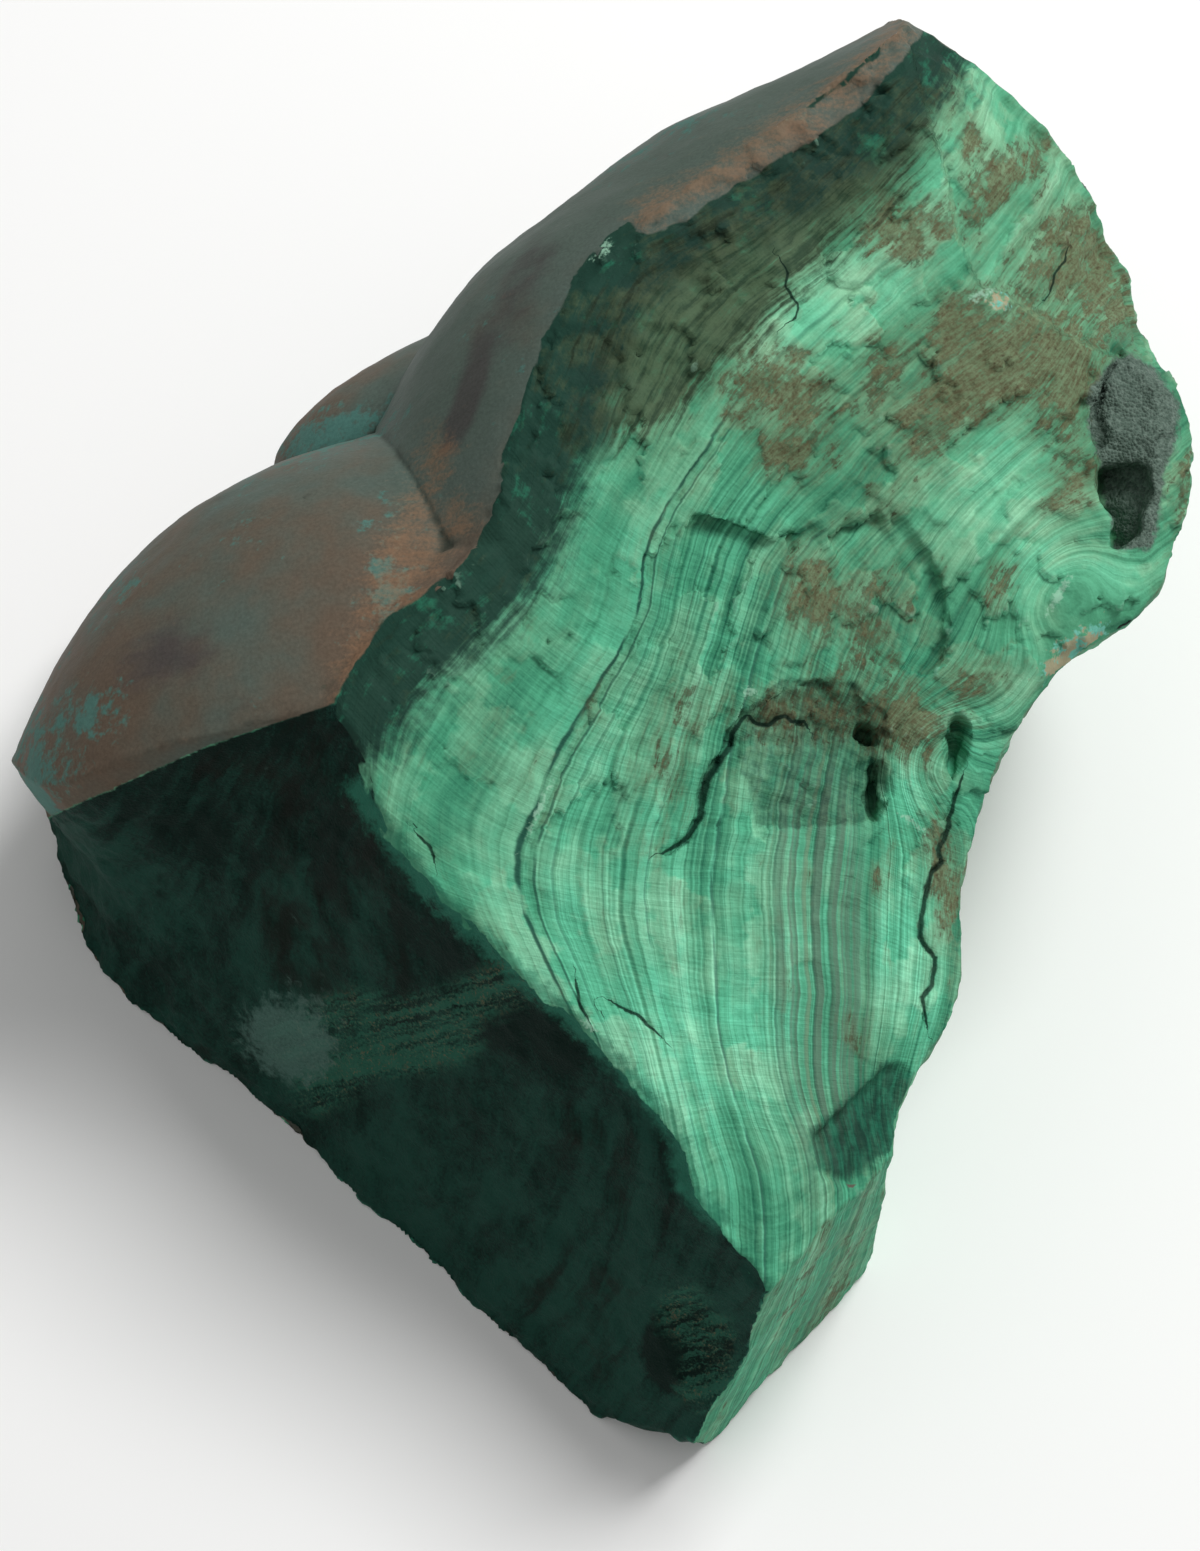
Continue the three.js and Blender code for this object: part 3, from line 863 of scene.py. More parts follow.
        # Shell-like hollows of the dark break and the rough old side
        grain = relief.dark_grain * Grain(Seed.DARK).layered(points, 7.0, 4, 0.55)
        shell = relief.dark_shell * np.abs(Grain(Seed.SHELL).layered(points, 11.0, 3))
        heights += zones.dark * (grain - shell + relief.dark_lift)
        old = (zones.side + zones.base * 0.2) * relief.side_grain
        heights += old * Grain(Seed.SIDE).layered(points, 10.0, 4, 0.55)

        # The rind's swells, the open hollow's crystals and the recess's rough floor
        swell = relief.rind_swell * Grain(Seed.SWELL).layered(points, 16.0, 3)
        heights += zones.rind * (swell + relief.rind_grain * Grain(Seed.RIND).layered(points, 2.2, 2))
        heights += hollow * zones.face * relief.druse * np.abs(Grain(Seed.DRUSE).layered(points, 1.3, 2))
        within = RECESS.inside(marked)
        floor = smooth(within, -0.2, 0.6)
        rubble = floor * smooth(-within, -3.4, -0.8) * smooth(seen[:, 1], -1.0, 4.0)
        blocks = relief.rubble + relief.rubble_grain * Grain(Seed.RUBBLE).layered(points, 3.6, 3, 0.6)
        heights += rubble * zones.face * blocks
        heights += floor * zones.face * relief.recess_grain * Grain(Seed.RECESS).layered(points, 2.4, 3, 0.6)

        for crack in CRACKS:
            heights -= crack.depth * smooth(1.0 - np.abs(crack.off(jagged)), -0.4, 0.8) * zones.face
        return heights

    def _flakes(self, points: Array, growth: Array) -> tuple[Array, Array]:
        """Return the level and tilt of the small flaked face at each vertex."""
        cells = np.column_stack((growth[:, 1] / 7.0, growth[:, 0] / 3.4))
        return Flakes(Seed.FLAKES).at(cells + 0.5 * self._wobble(points, 2.2))

    @staticmethod
    def _wobble(points: Array, size: float) -> Array:
        """Return small shifts on the drawing, in waves of a size."""
        seeds = (Seed.WOBBLE_ACROSS, Seed.WOBBLE_UP)
        return np.column_stack([Grain(seed).layered(points, size, 2) for seed in seeds])

    def _loosened(self, points: Array, seen: Array) -> tuple[Array, Array]:
        """Shift seen places, so that what is drawn there wanders.

        Args:
            points: vertices in millimetres.
            seen: where they are seen on the drawing.

        Returns:
            The places with wide shifts, for marks, and with short jagged ones, for cracks.
        """
        return seen + 0.55 * self._wobble(points, 2.6), seen + 0.25 * self._wobble(points, 1.3)

    def _ragged(self, points: Array, normals: Array) -> Array:
        """Shift the broken faces' vertices about, so that their edges run unevenly.

        Args:
            points: vertices in millimetres.
            normals: their normals.

        Returns:
            The shifts in millimetres.
        """
        zones = self._zones(points, normals)
        broken = zones.face + zones.side + zones.bevel + zones.dark
        seeds = (Seed.RAGGED_X, Seed.RAGGED_Y, Seed.RAGGED_Z)
        shifts = [Grain(seed).layered(points, 3.2, 3, 0.55) for seed in seeds]
        return self.relief.ragged * broken[:, None] * np.column_stack(shifts)

    def _chips(self, skin: Skin) -> Array:
        """Work out how far the sharp edges are knocked back.

        Args:
            skin: the fine mesh.

        Returns:
            Depths in millimetres, inwards.
        """
        points = skin.points
        edge = skin.blurred(smooth(skin.bulge(16), 0.08, 0.30)[:, None], 3)[:, 0]
        chip = smooth(Grain(Seed.CHIPS).layered(points, 5.0, 4, 0.6), 0.0, 0.5)
        return edge * (self.relief.blunted + self.relief.chipped * chip)

    def build(self) -> bpy.types.Object:
        """Mesh the chunk, give it its relief and store the marks that its finish reads.

        Returns:
            The finished piece, riding on its body.
        """
        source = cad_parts[self.node]
        piece = self._meshed(source)
        skin = Skin(piece.data)
        log.info("fine mesh: %d vertices", skin.count)
        skin.polish(rounds=60, plain=0.05, sharp=0.12)
        points, normals = skin.points, skin.blurred(skin.normals, 2)
        skin.points = points - normals * self._chips(skin)[:, None]
        skin.points = skin.points + self._ragged(skin.points, skin.blurred(skin.normals, 3))
        points, normals = skin.points, skin.normals
        lifted = points + normals * self._relief(points, skin.blurred(normals, 3))[:, None]
        lifted[:, 2] = np.maximum(lifted[:, 2], 0.0)
        skin.points = lifted
        hollow = self._hollowness(skin)
        fine = skin.points

        # The mesh is thinned where the surface is plain
        thin = piece.modifiers.new("thinned mesh", "DECIMATE")
        thin.ratio = min(1.0, self.triangles / (len(piece.data.loops) - 2 * len(piece.data.polygons)))
        thin.use_collapse_triangulate = True
        self._apply(piece)
        piece.data.shade_smooth()
        self._mark(Skin(piece.data), fine, hollow)

        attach(piece, self.body)
        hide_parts(self.node)
        return piece

    @staticmethod
    def _hollowness(skin: Skin) -> Array:
        """Work out how hollow the surface is at each vertex.

        Args:
            skin: the fine mesh with its relief.

        Returns:
            How hollow it is close by and more widely, below zero where it bulges.
        """
        points, normals = skin.points, skin.normals
        near = skin.blurred(points, 8)
        wide = skin.blurred(near, 40)
        return np.column_stack([np.sum((soft - points) * normals, axis=1) for soft in (near, wide)])

    def _mark(self, skin: Skin, fine: Array, hollow: Array) -> None:
        """Store on the thinned mesh what the finish reads.

        Args:
            skin: the thinned mesh.
            fine: vertices of the fine mesh.
            hollow: how hollow the fine mesh is at each of them.
        """
        tree = KDTree(len(fine))
        for index, place in enumerate(fine):
            tree.insert(place, index)
        tree.balance()
        points, normals = skin.points, skin.normals
        nearest = np.array([tree.find(place)[1] for place in points])
        hollowness_for_wear_and_shade = hollow[nearest]
        zones = self._zones(points, skin.blurred(normals, 2))
        drawn = self.drawing.drawn(points)
        seen = self.drawing.seen(drawn)[:, :2]
        growth = self._growth(drawn)
        marked, jagged = self._loosened(points, seen)
        front = smooth(zones.face, 0.3, 0.7)

        def total(spots: tuple[Blotch, ...]) -> Array:
            """Add soft spots up at every vertex."""
            return sum(spot.at(seen) for spot in spots)

        def within(outline: Outline) -> Array:
            """Return how far inside an outline on the front each vertex is, from -4."""
            return np.where(front > 0.5, np.maximum(outline.inside(seen), -4.0), -4.0)

        rim = Path(RIND_EDGE).measure(seen)[0]
        reach, _, share = LIP.measure(marked)
        lip = smooth(2.0 - share - reach, -0.6, 0.6)
        crease = np.prod(CREASE.measure(seen)[:2], axis=0)
        vein = np.min([path.measure(marked)[0] for path in VEINS], axis=0)
        reaches = np.array([crack.path.measure(jagged)[0] for crack in CRACKS])
        offs = np.array([crack.off(jagged) for crack in CRACKS])
        nearby = np.where(front > 0.5, reaches.min(axis=0), 9.0)
        gap = offs[reaches.argmin(axis=0), np.arange(len(points))]
        copper = np.max([np.exp(-(path.measure(marked)[0] / 2.6) ** 2) for path in COPPER_LINES], axis=0)
        ridge = np.minimum(Path(DARK_EDGE).measure(marked)[0], 9.0)
        flake = self._flakes(points, growth)[0]
        rind = np.maximum(zones.rind, lip)
        broken = zones.side + zones.bevel
        teal, plum, slate = total(TEAL_BLOOMS), total(PLUM_SMUDGES), total(SLATE_ZONES)
        layers = {
            "growth": (growth,),
            "zones": (flake, zones.dark, rind, broken),
            "marks": (total(STAINS), rim, total(OLIVE_ZONES), total(CRUSTS)),
            "tones": (total(FRESH_ZONES), total(GREY_BANDS), vein, total(GREY_PATCH_AND_SCOOP_SHADE)),
            "bloom": (copper, teal, plum, slate),
            # wear: hollowness, read for edge wear and for painted shade in hollows and creases; then crack
            # distance and scuffs
            "wear": (hollowness_for_wear_and_shade, nearby, total(SCUFFS)),
            "lines": (np.clip(gap, -9.0, 9.0), crease, within(CHIP)),
            "places": (front, within(RECESS), within(OPEN_HOLLOW), ridge),
        }
        for name, columns in layers.items():
            skin.write(name, np.column_stack(columns))


class Wire:
    """A socket in a node tree; arithmetic on it adds the nodes that work it out."""

    def __init__(self, board: "Board", socket: bpy.types.NodeSocket) -> None:
        """Keep the socket and the board that it is on."""
        self.board = board
        self.socket = socket

    def __add__(self, other: "Term") -> "Wire":
        """Return self + other."""
        return self.board.joined("ADD", self, other)

    def __sub__(self, other: "Term") -> "Wire":
        """Return self - other."""
        return self.board.joined("SUBTRACT", self, other)

    def __mul__(self, other: "Term") -> "Wire":
        """Return self * other."""
        return self.board.joined("MULTIPLY", self, other)

    def __radd__(self, other: "Term") -> "Wire":
        """Return other + self."""
        return self.board.joined("ADD", other, self)

    def __rsub__(self, other: "Term") -> "Wire":
        """Return other - self."""
        return self.board.joined("SUBTRACT", other, self)

    def __rmul__(self, other: "Term") -> "Wire":
        """Return other * self."""
        return self.board.joined("MULTIPLY", other, self)

    def __abs__(self) -> "Wire":
        """Return the size of a value."""
        return self.board.add("ShaderNodeMath", {"operation": "ABSOLUTE"}, {0: self})

    def over(self, other: "Term") -> "Wire":
        """Return the larger of two values."""
        return self.board.add("ShaderNodeMath", {"operation": "MAXIMUM"}, {0: self, 1: other})

    def under(self, other: "Term") -> "Wire":
        """Return the smaller of two values."""
        return self.board.add("ShaderNodeMath", {"operation": "MINIMUM"}, {0: self, 1: other})

    def step(self, low: float, high: float) -> "Wire":
        """Make a soft step of a value.

        Args:
            low: where the step is 0.
            high: where it is 1, above or below low.

        Returns:
            The step.
        """
        start, end, first, last = (low, high, 0.0, 1.0) if low < high else (high, low, 1.0, 0.0)
        values = {"Value": self, "From Min": start, "From Max": end, "To Min": first, "To Max": last}
        return self.board.add("ShaderNodeMapRange", {"interpolation_type": "SMOOTHSTEP"}, values)


Term = Wire | float | Colour


class Board:
    """The node tree of one finish."""

    def __init__(self, tree: bpy.types.NodeTree) -> None:
        """Start on an empty tree."""
        self.tree = tree
        tree.nodes.clear()

    def add(self, kind: str, settings: dict, inputs: dict, output: int | str | None = 0) -> Wire | None:
        """Add a node.

        Args:
            kind: the node's type.
            settings: its properties, set first; "stops" are a ramp's places and colours.
            inputs: values or wires for its sockets, by name or number.
            output: the socket to return, by name or number, or None for a node that ends the tree.

        Returns:
            The output as a wire, or None.
        """
        node = self.tree.nodes.new(kind)
        for key, value in settings.items():
            if key == "stops":
                self._ramp(node.color_ramp, value)
            else:
                setattr(node, key, value)
        for key, value in inputs.items():
            socket = node.inputs[key]
            if isinstance(value, Wire):
                self.tree.links.new(value.socket, socket)
            else:
                socket.default_value = self._fitted(socket, value)
        return None if output is None else Wire(self, node.outputs[output])

    @staticmethod
    def _ramp(ramp: bpy.types.ColorRamp, stops: tuple[tuple[float, Colour], ...]) -> None:
        """Set a ramp's stops.

        Args:
            ramp: the ramp.
            stops: places and colours, in order.
        """
        while len(ramp.elements) < len(stops):
            ramp.elements.new(1.0)
        for element, (place, colour) in zip(ramp.elements, stops):
            element.position = place
            element.color = (*colour, 1.0)

    @staticmethod
    def _fitted(socket: bpy.types.NodeSocket, value: "float | Colour") -> "float | tuple[float, ...]":
        """Fit a number or colour to a socket.

        Args:
            socket: the socket.
            value: the number or colour.

        Returns:
            It in the form that the socket takes.
        """
        if socket.type == "RGBA":
            return (*value, 1.0) if isinstance(value, tuple) else (value, value, value, 1.0)
        if socket.type == "VECTOR" and not isinstance(value, tuple):
            return (value, value, value)
        return value

    def joined(self, operation: str, first: Term, second: Term) -> Wire:
        """Join two terms by a Math node, or by a Mix or Vector Math node for colours and vectors.

        Args:
            operation: the node's operation.
            first: the first term.
            second: the second term.

        Returns:
            The result.
        """
        kinds = {term.socket.type for term in (first, second) if isinstance(term, Wire)}
        if "RGBA" in kinds:
            settings = {"data_type": "RGBA", "blend_type": operation}
            return self.add("ShaderNodeMix", settings, {0: 1.0, 6: first, 7: second}, 2)
        kind = "ShaderNodeVectorMath" if "VECTOR" in kinds else "ShaderNodeMath"
        return self.add(kind, {"operation": operation}, {0: first, 1: second})

    def mix(self, share: Term, first: Term, second: Term) -> Wire:
        """Return first where share is 0 and second where it is 1, as a colour."""
        return self.add("ShaderNodeMix", {"data_type": "RGBA"}, {0: share, 6: first, 7: second}, 2)

    def noise(self, place: Wire, scale: float, detail: float = 2.0, rough: float = 0.5) -> Wire:
        """Return layered noise in space, about -0.5 to 0.5."""
        values = {"Vector": place, "Scale": scale, "Detail": detail, "Roughness": rough}
        return self.add("ShaderNodeTexNoise", {"noise_dimensions": "3D"}, values) - 0.5

    def lines(self, across: Wire, scale: float, detail: float = 2.0) -> Wire:
        """Return noise along one value, about -0.5 to 0.5."""
        values = {"W": across, "Scale": scale, "Detail": detail, "Roughness": 0.6}
        return self.add("ShaderNodeTexNoise", {"noise_dimensions": "1D"}, values) - 0.5

    def spots(self, place: Wire, scale: float) -> Wire:
        """Return the distance to the nearest of scattered spots."""
        return self.add("ShaderNodeTexVoronoi", {}, {"Vector": place, "Scale": scale}, "Distance")

    def vector(self, first: Term, second: Term, third: Term) -> Wire:
        """Return a vector of three values."""
        return self.add("ShaderNodeCombineXYZ", {}, {0: first, 1: second, 2: third})

    def ramp(self, value: Wire, stops: tuple[tuple[float, Colour], ...]) -> Wire:
        """Return the colour of a ramp at a value."""
        return self.add("ShaderNodeValToRGB", {"stops": stops}, {0: value})

    def parts(self, layer: str) -> tuple[Wire, Wire, Wire, Wire]:
        """Read a stored colour layer.

        Args:
            layer: its name.

        Returns:
            Its four numbers.
        """
        settings = {"attribute_type": "GEOMETRY", "attribute_name": layer}
        colour = self.add("ShaderNodeAttribute", settings, {}, "Color")
        alpha = self.add("ShaderNodeAttribute", settings, {}, "Alpha")
        split = [self.add("ShaderNodeSeparateColor", {}, {0: colour}, index) for index in range(3)]
        return split[0], split[1], split[2], alpha

    def triple(self, layer: str) -> tuple[Wire, Wire, Wire]:
        """Read a stored vector layer.

        Args:
            layer: its name.

        Returns:
            Its three numbers.
        """
        settings = {"attribute_type": "GEOMETRY", "attribute_name": layer}
        vector = self.add("ShaderNodeAttribute", settings, {}, "Vector")
        split = [self.add("ShaderNodeSeparateXYZ", {}, {0: vector}, index) for index in range(3)]
        return split[0], split[1], split[2]


@dataclass
class Coat:
    """What a finish gives the surface: its colour, its roughness and its fine height in millimetres."""

    colour: Wire
    rough: Wire
    height: Wire


@dataclass
class Ground:
    """What every finish reads: places in millimetres and the marks stored on the mesh."""

    board: Board

    def __post_init__(self) -> None:
        """Read the stored layers."""
        board = self.board
        self.place = board.add("ShaderNodeTexCoord", {}, {}, "Object") * (1.0 / MM)
        self.across, self.along, self.depth = board.triple("growth")
        self.flake, self.dark, self.rind, self.side = board.parts("zones")
        self.stain, self.rim, self.olive, self.crust = board.parts("marks")
        # patch: the grey-green patch, and below zero the painted shade of the scoop
        self.fresh, self.grey, self.vein, self.patch = board.parts("tones")
        self.copper, self.teal, self.plum, self.slate = board.parts("bloom")
        # The stored hollowness, close by and wide, feeds edge wear and the painted shade of hollows and
        # creases
        self.hollow, self.wide, self.nearby, self.scuff = board.parts("wear")
        self.gap, self.crease, self.chip = board.triple("lines")
        self.front, self.recess, self.vug, self.ridge = board.parts("places")


@dataclass(frozen=True)
class Seam:
    """One dark or pale line in the bands: where it grew, half its width and how strongly it shows."""

    at: float
    width: float
    shade: float


@dataclass(frozen=True)
class BandedFinish:
    """Fresh malachite: silky bands of green with dark seams, cross fibres, iron stains and a dark rim."""

    greens: tuple[tuple[float, Colour], ...] = (
        (0.00, (0.012, 0.080, 0.050)),
        (0.28, (0.045, 0.190, 0.112)),
        (0.50, (0.095, 0.325, 0.192)),
        (0.72, (0.155, 0.485, 0.300)),
        (1.00, (0.270, 0.760, 0.500)),
    )
    seam: Colour = (0.012, 0.065, 0.046)
    grey: Colour = (0.108, 0.188, 0.132)
    lime: Colour = (0.230, 0.430, 0.240)
    ochre: Colour = (0.150, 0.185, 0.100)
    brown: Colour = (0.100, 0.094, 0.050)
    umber: Colour = (0.042, 0.036, 0.020)
    olive: Colour = (0.066, 0.092, 0.050)
    olive_dark: Colour = (0.022, 0.030, 0.017)
    moss: Colour = (0.060, 0.165, 0.092)
    rim: Colour = (0.013, 0.038, 0.029)
    emerald: Colour = (0.022, 0.150, 0.090)
    tan: Colour = (0.400, 0.340, 0.220)
    turquoise: Colour = (0.170, 0.520, 0.420)
    scuff: Colour = (0.320, 0.560, 0.410)
    seams: tuple[Seam, ...] = (
        Seam(12.75, 0.26, 0.9), Seam(13.8, 0.16, 0.65), Seam(15.0, 0.14, 0.35), Seam(18.6, 0.18, 0.25),
        Seam(22.3, 0.14, 0.45), Seam(28.0, 0.22, 0.7), Seam(33.2, 0.18, 0.4), Seam(36.6, 0.22, 0.35),
    )

    def coat(self, ground: Ground) -> Coat:
        """Work out the fresh breaks' finish.

        Args:
            ground: the places and marks.

        Returns:
            The coat.
        """
        board, place = ground.board, ground.place
        across = ground.across + board.noise(place, 0.07, 2.0) * 2.0 + board.noise(place, 0.55, 2.0) * 0.26
        comb = board.vector(ground.along * 2.8, across * 0.24, ground.depth * 0.4)
        combed = board.noise(comb, 1.0, 2.0, 0.6) * 0.9
        silk = board.noise(board.vector(ground.along * 8.0, across * 0.7, 3.37), 1.0, 0.0) * 0.57
        middle = board.lines(across, 0.62, 2.0)
        fine = board.lines(across, 2.6, 2.0)
        grain = board.noise(place, 3.2, 1.0) * 0.8
        strip = board.vector(ground.along * 0.11, across * 2.0, ground.depth * 0.4)
        streaks = board.noise(strip, 1.0, 2.0, 0.66)
        lower = ground.along.step(38.0, 66.0) * 0.85 + 0.15
        fibre = combed * lower + streaks * (1.0 - lower) * 1.2
        silk = silk * lower
        strands = fibre * 0.40 + silk * 0.18 + grain * 0.18
        colour = self._banded(ground, across, middle * 0.95 + fine, strands)
        colour = self._stained(ground, colour, across)
        colour = self._recessed(ground, colour)
        colour = self._rimmed(ground, colour, across)
        colour = self._worn(ground, colour, grain)
        height = middle * 0.12 + fine * 0.07 + combed * lower * 0.08 + grain * 0.06
        return Coat(colour, 0.56 + fibre * 0.25 + grain * 0.2, height)

    def _banded(self, ground: Ground, across: Wire, bands: Wire, strands: Wire) -> Wire:
        """Work out the plain bands.

        Args:
            ground: the places and marks.
            across: the growth, wandering a little.
            bands: the light and dark of the bands.
            strands: the light and dark of the cross fibres.

        Returns:
            Their colour.
        """
        board, place = ground.board, ground.place
        strip = board.vector(ground.along * 0.05, across * 0.35, 0.0)
        clear = (board.noise(strip, 0.8, 2.0) * 2.6 + 0.6).step(0.0, 1.0) * 0.7 + 0.3
        clear = clear * (ground.across.step(8.0, 22.0) * 0.65 + 0.35)
        clear = clear * (ground.along.step(24.0, 60.0) * 0.5 + 0.5)
        level = 0.53 + ground.fresh * ground.front * 0.27 + board.lines(across, 0.13, 1.0) * 0.5
        level = level + board.noise(strip, 1.0, 2.0) * 0.3 + board.noise(place, 0.16, 3.0) * 0.27
        level = level + ground.flake * 0.055 + bands.under(0.17) * clear + strands
        colour = board.ramp(level, self.greens)
        dusty = board.noise(place, 0.13, 3.0, 0.62) * 2.2 + board.noise(strip, 2.0, 2.0) * 1.3
        dusty = dusty + ground.flake * 0.35
        colour = colour * board.mix((dusty + 0.45).step(0.0, 1.0), (0.68, 0.95, 0.92), (1.22, 1.03, 1.02))
        colour = board.mix(ground.along.step(62.0, 34.0), colour, colour * (1.14, 0.97, 0.95))

        comb = ground.across.step(13.8, 14.8) * ground.across.step(19.0, 16.0) * ground.front
        comb = comb * ground.along.step(62.0, 68.0) * ground.along.step(86.0, 80.0)
        teeth = board.noise(board.vector(ground.along * 1.5, across * 0.12, 9.0), 1.0, 2.0).step(-0.02, 0.12)
        colour = board.mix(comb * teeth * 0.5, colour, colour * (1.5, 1.3, 1.35))
        streak = (board.lines(across, 1.15, 1.0) * 4.5 + 0.5).step(0.0, 1.0)
        zone = ground.grey.step(0.2, 0.7) * ground.front
        colour = board.mix(zone * (0.10 + streak * 0.72), colour, self.grey)
        pale = board.lines(across + 40.0, 1.3, 1.0).step(0.14, 0.24)
        colour = board.mix(ground.grey.step(0.1, 0.5) * ground.front * pale * 0.3, colour, self.lime)
        lower = ground.along.step(24.0, 56.0) * 0.65 + 0.35
        worn = (board.noise(strip, 3.13, 2.0) * 3.0 + 0.65).step(0.1, 0.6) * lower
        for line in self.seams:
            trace = abs(across - line.at).step(line.width, line.width * 0.25)
            colour = board.mix(trace * worn * line.shade, colour, self.seam)
        return colour

    def _stained(self, ground: Ground, colour: Wire, across: Wire) -> Wire:
        """Lay the iron stains over the bands, with the crease's pale line.

        Args:
            ground: the places and marks.
            colour: the bands' colour.
            across: the growth, wandering a little.

        Returns:
            The stained colour.
        """
        board, place = ground.board, ground.place
        strip = board.vector(ground.along * 0.16, across * 0.9, ground.depth * 0.4)
        streaks = board.noise(strip, 1.0, 4.0, 0.70) * 0.88
        ragged = board.noise(place, 0.40, 4.0, 0.70) * 0.88
        speckle = board.noise(place, 2.4, 2.0, 0.62) * 0.9
        old = 0.48 + board.noise(place, 0.09, 2.0) * 0.9 - ground.along.step(106.0, 122.0) * 0.2
        old = ground.side * old
        stain = (ground.stain * ground.front * 0.85).over(old) + ground.flake * 0.2
        thread = board.vector(ground.along * 0.45, across * 2.6, ground.depth)
        threads = board.noise(thread, 1.0, 3.0, 0.70) * 0.86
        wash = (stain + streaks * 1.6 + ragged * 1.0 + threads * 0.5).step(0.05, 0.85)
        tint = board.mix((threads * 3.0 + ragged + 0.5).step(0.0, 1.0), self.ochre, self.brown)
        colour = board.mix(wash * (0.55 + threads * 0.9), colour, tint)
        amount = stain * 0.9 + streaks * 1.5 + ragged * 1.5 + speckle * 0.45 + threads * 0.6
        inside = amount.step(0.62, 0.84)
        tone = board.mix((threads * 2.4 + speckle * 2.0 + 0.5).step(0.0, 1.0), self.ochre, self.brown)
        tone = board.mix((speckle * 2.6 + ragged * 1.8).step(0.3, 0.9) * 0.85, tone, self.umber)
        colour = board.mix(inside * (0.80 + threads * 0.9 + speckle * 0.6), colour, tone)
        edge = amount.step(0.52, 0.64) * amount.step(0.84, 0.70)
        colour = board.mix(edge * (ragged * 2.0 + 0.5).step(0.2, 0.8) * 0.5, colour, self.umber)
        fold = abs(ground.crease + ragged * 0.9).step(0.4, 0.1) * ground.front
        return board.mix(fold * (ragged * 2.6 + 0.5).step(0.2, 0.9) * 0.4, colour, self.lime)

    def _recessed(self, ground: Ground, colour: Wire) -> Wire:
        """Darken the rough floor of the recess, up to its sharp lower edge.

        Args:
            ground: the places and marks.
            colour: the stained bands' colour.

        Returns:
            The colour with the recess.
        """
        board, place = ground.board, ground.place
        within = (ground.recess + board.noise(place, 0.9, 3.0, 0.6) * 1.5).step(-0.1, 0.35)
        mottle = (board.noise(place, 1.3, 3.0, 0.65) * 2.2 + 0.5).step(0.0, 1.0)
        return board.mix(within, colour, colour * board.mix(mottle, (0.46, 0.48, 0.50), (0.78, 0.74, 0.72)))

    def _rimmed(self, ground: Ground, colour: Wire, across: Wire) -> Wire:
        """Darken the bands towards the rind and over the olive zone.

        Args:
            ground: the places and marks.
            colour: the colour of the bands with stains and recess.
            across: the growth, wandering a little.

        Returns:
            The darkened colour.
        """
        board, place = ground.board, ground.place
        strip = board.vector(ground.along * 0.10, across * 1.9, ground.depth * 0.2)
        streaks = board.noise(strip, 1.0, 3.0, 0.68) * 0.87
        mottle = board.noise(place, 0.9, 3.0, 0.68) * 0.87
        patchy = board.noise(place, 0.22, 3.0, 0.6) * 0.94
        olive = ground.olive * ground.front + streaks * 1.5 + mottle * 0.6 + ground.flake * 0.08
        olive = olive.step(0.34, 0.88)
        tone = board.mix((streaks * 3.6 + mottle * 1.4 + 0.40).step(0.1, 0.9), self.olive, self.olive_dark)
        tone = board.mix((patchy * 2.4 - streaks * 2.6 + mottle).step(0.25, 0.85) * 0.6, tone, self.moss)
        colour = board.mix(olive * 0.9, colour, tone)
        near = (ground.rim + streaks * 6.0 + mottle * 3.6 + patchy * 4.5).step(9.6, 5.0)
        jewel = (patchy * 3.0 + streaks * 1.8 + mottle * 1.6 + 0.1).step(0.25, 1.0)
        rim = board.mix(jewel, self.rim, self.emerald)
        rusty = board.noise(place, 0.3, 4.0, 0.68) * 2.1 + streaks * 1.8 + ground.olive * 0.5
        rim = board.mix(rusty.step(0.15, 0.8) * 0.85, rim, tone)
        colour = board.mix(near * 0.96, colour, rim)
        chip = (ground.chip + mottle * 1.6 + streaks * 1.2).step(-0.2, 0.7)
        facets = board.noise(board.vector(across * 0.9, ground.along * 0.25, 7.37), 1.0, 3.0, 0.65)
        facets = (facets * 3.2 + mottle * 1.4 + 0.45).step(0.0, 1.0)
        colour = board.mix(chip * 0.72, colour, board.mix(facets, self.rim, self.emerald))
        brink = (ground.ridge + mottle * 3.0).step(1.3, 0.2) * ground.front
        return board.mix(brink * 0.6, colour, self.emerald)

    def _worn(self, ground: Ground, colour: Wire, grain: Wire) -> Wire:
        """Add the crusts of blue-green and tan, and the pale scuffs.

        Args:
            ground: the places and marks.
            colour: the colour so far.
            grain: the finest grain.

        Returns:
            The worn colour.
        """
        board, place = ground.board, ground.place
        rough = board.noise(place, 1.1, 3.0, 0.62) * 0.94
        crusted = (ground.crust * ground.front + rough * 1.5).step(0.5, 0.75)
        flecks = (board.noise(place, 0.8, 2.0) * 0.93 + grain * 0.2).step(-0.04, 0.10)
        colour = board.mix(crusted * 0.85, colour, board.mix(flecks, self.tan, self.turquoise))
        scuffed = (ground.scuff * ground.front + rough * 1.4 + grain * 1.2).step(0.55, 1.0)
        sparse = board.noise(place, 0.11, 2.0).step(0.03, 0.16)
        edge = (rough * 0.25 + grain * 0.2 - ground.hollow).step(0.14, 0.30) * sparse
        return board.mix(scuffed.over(edge * 0.4) * 0.65, colour, self.scuff)


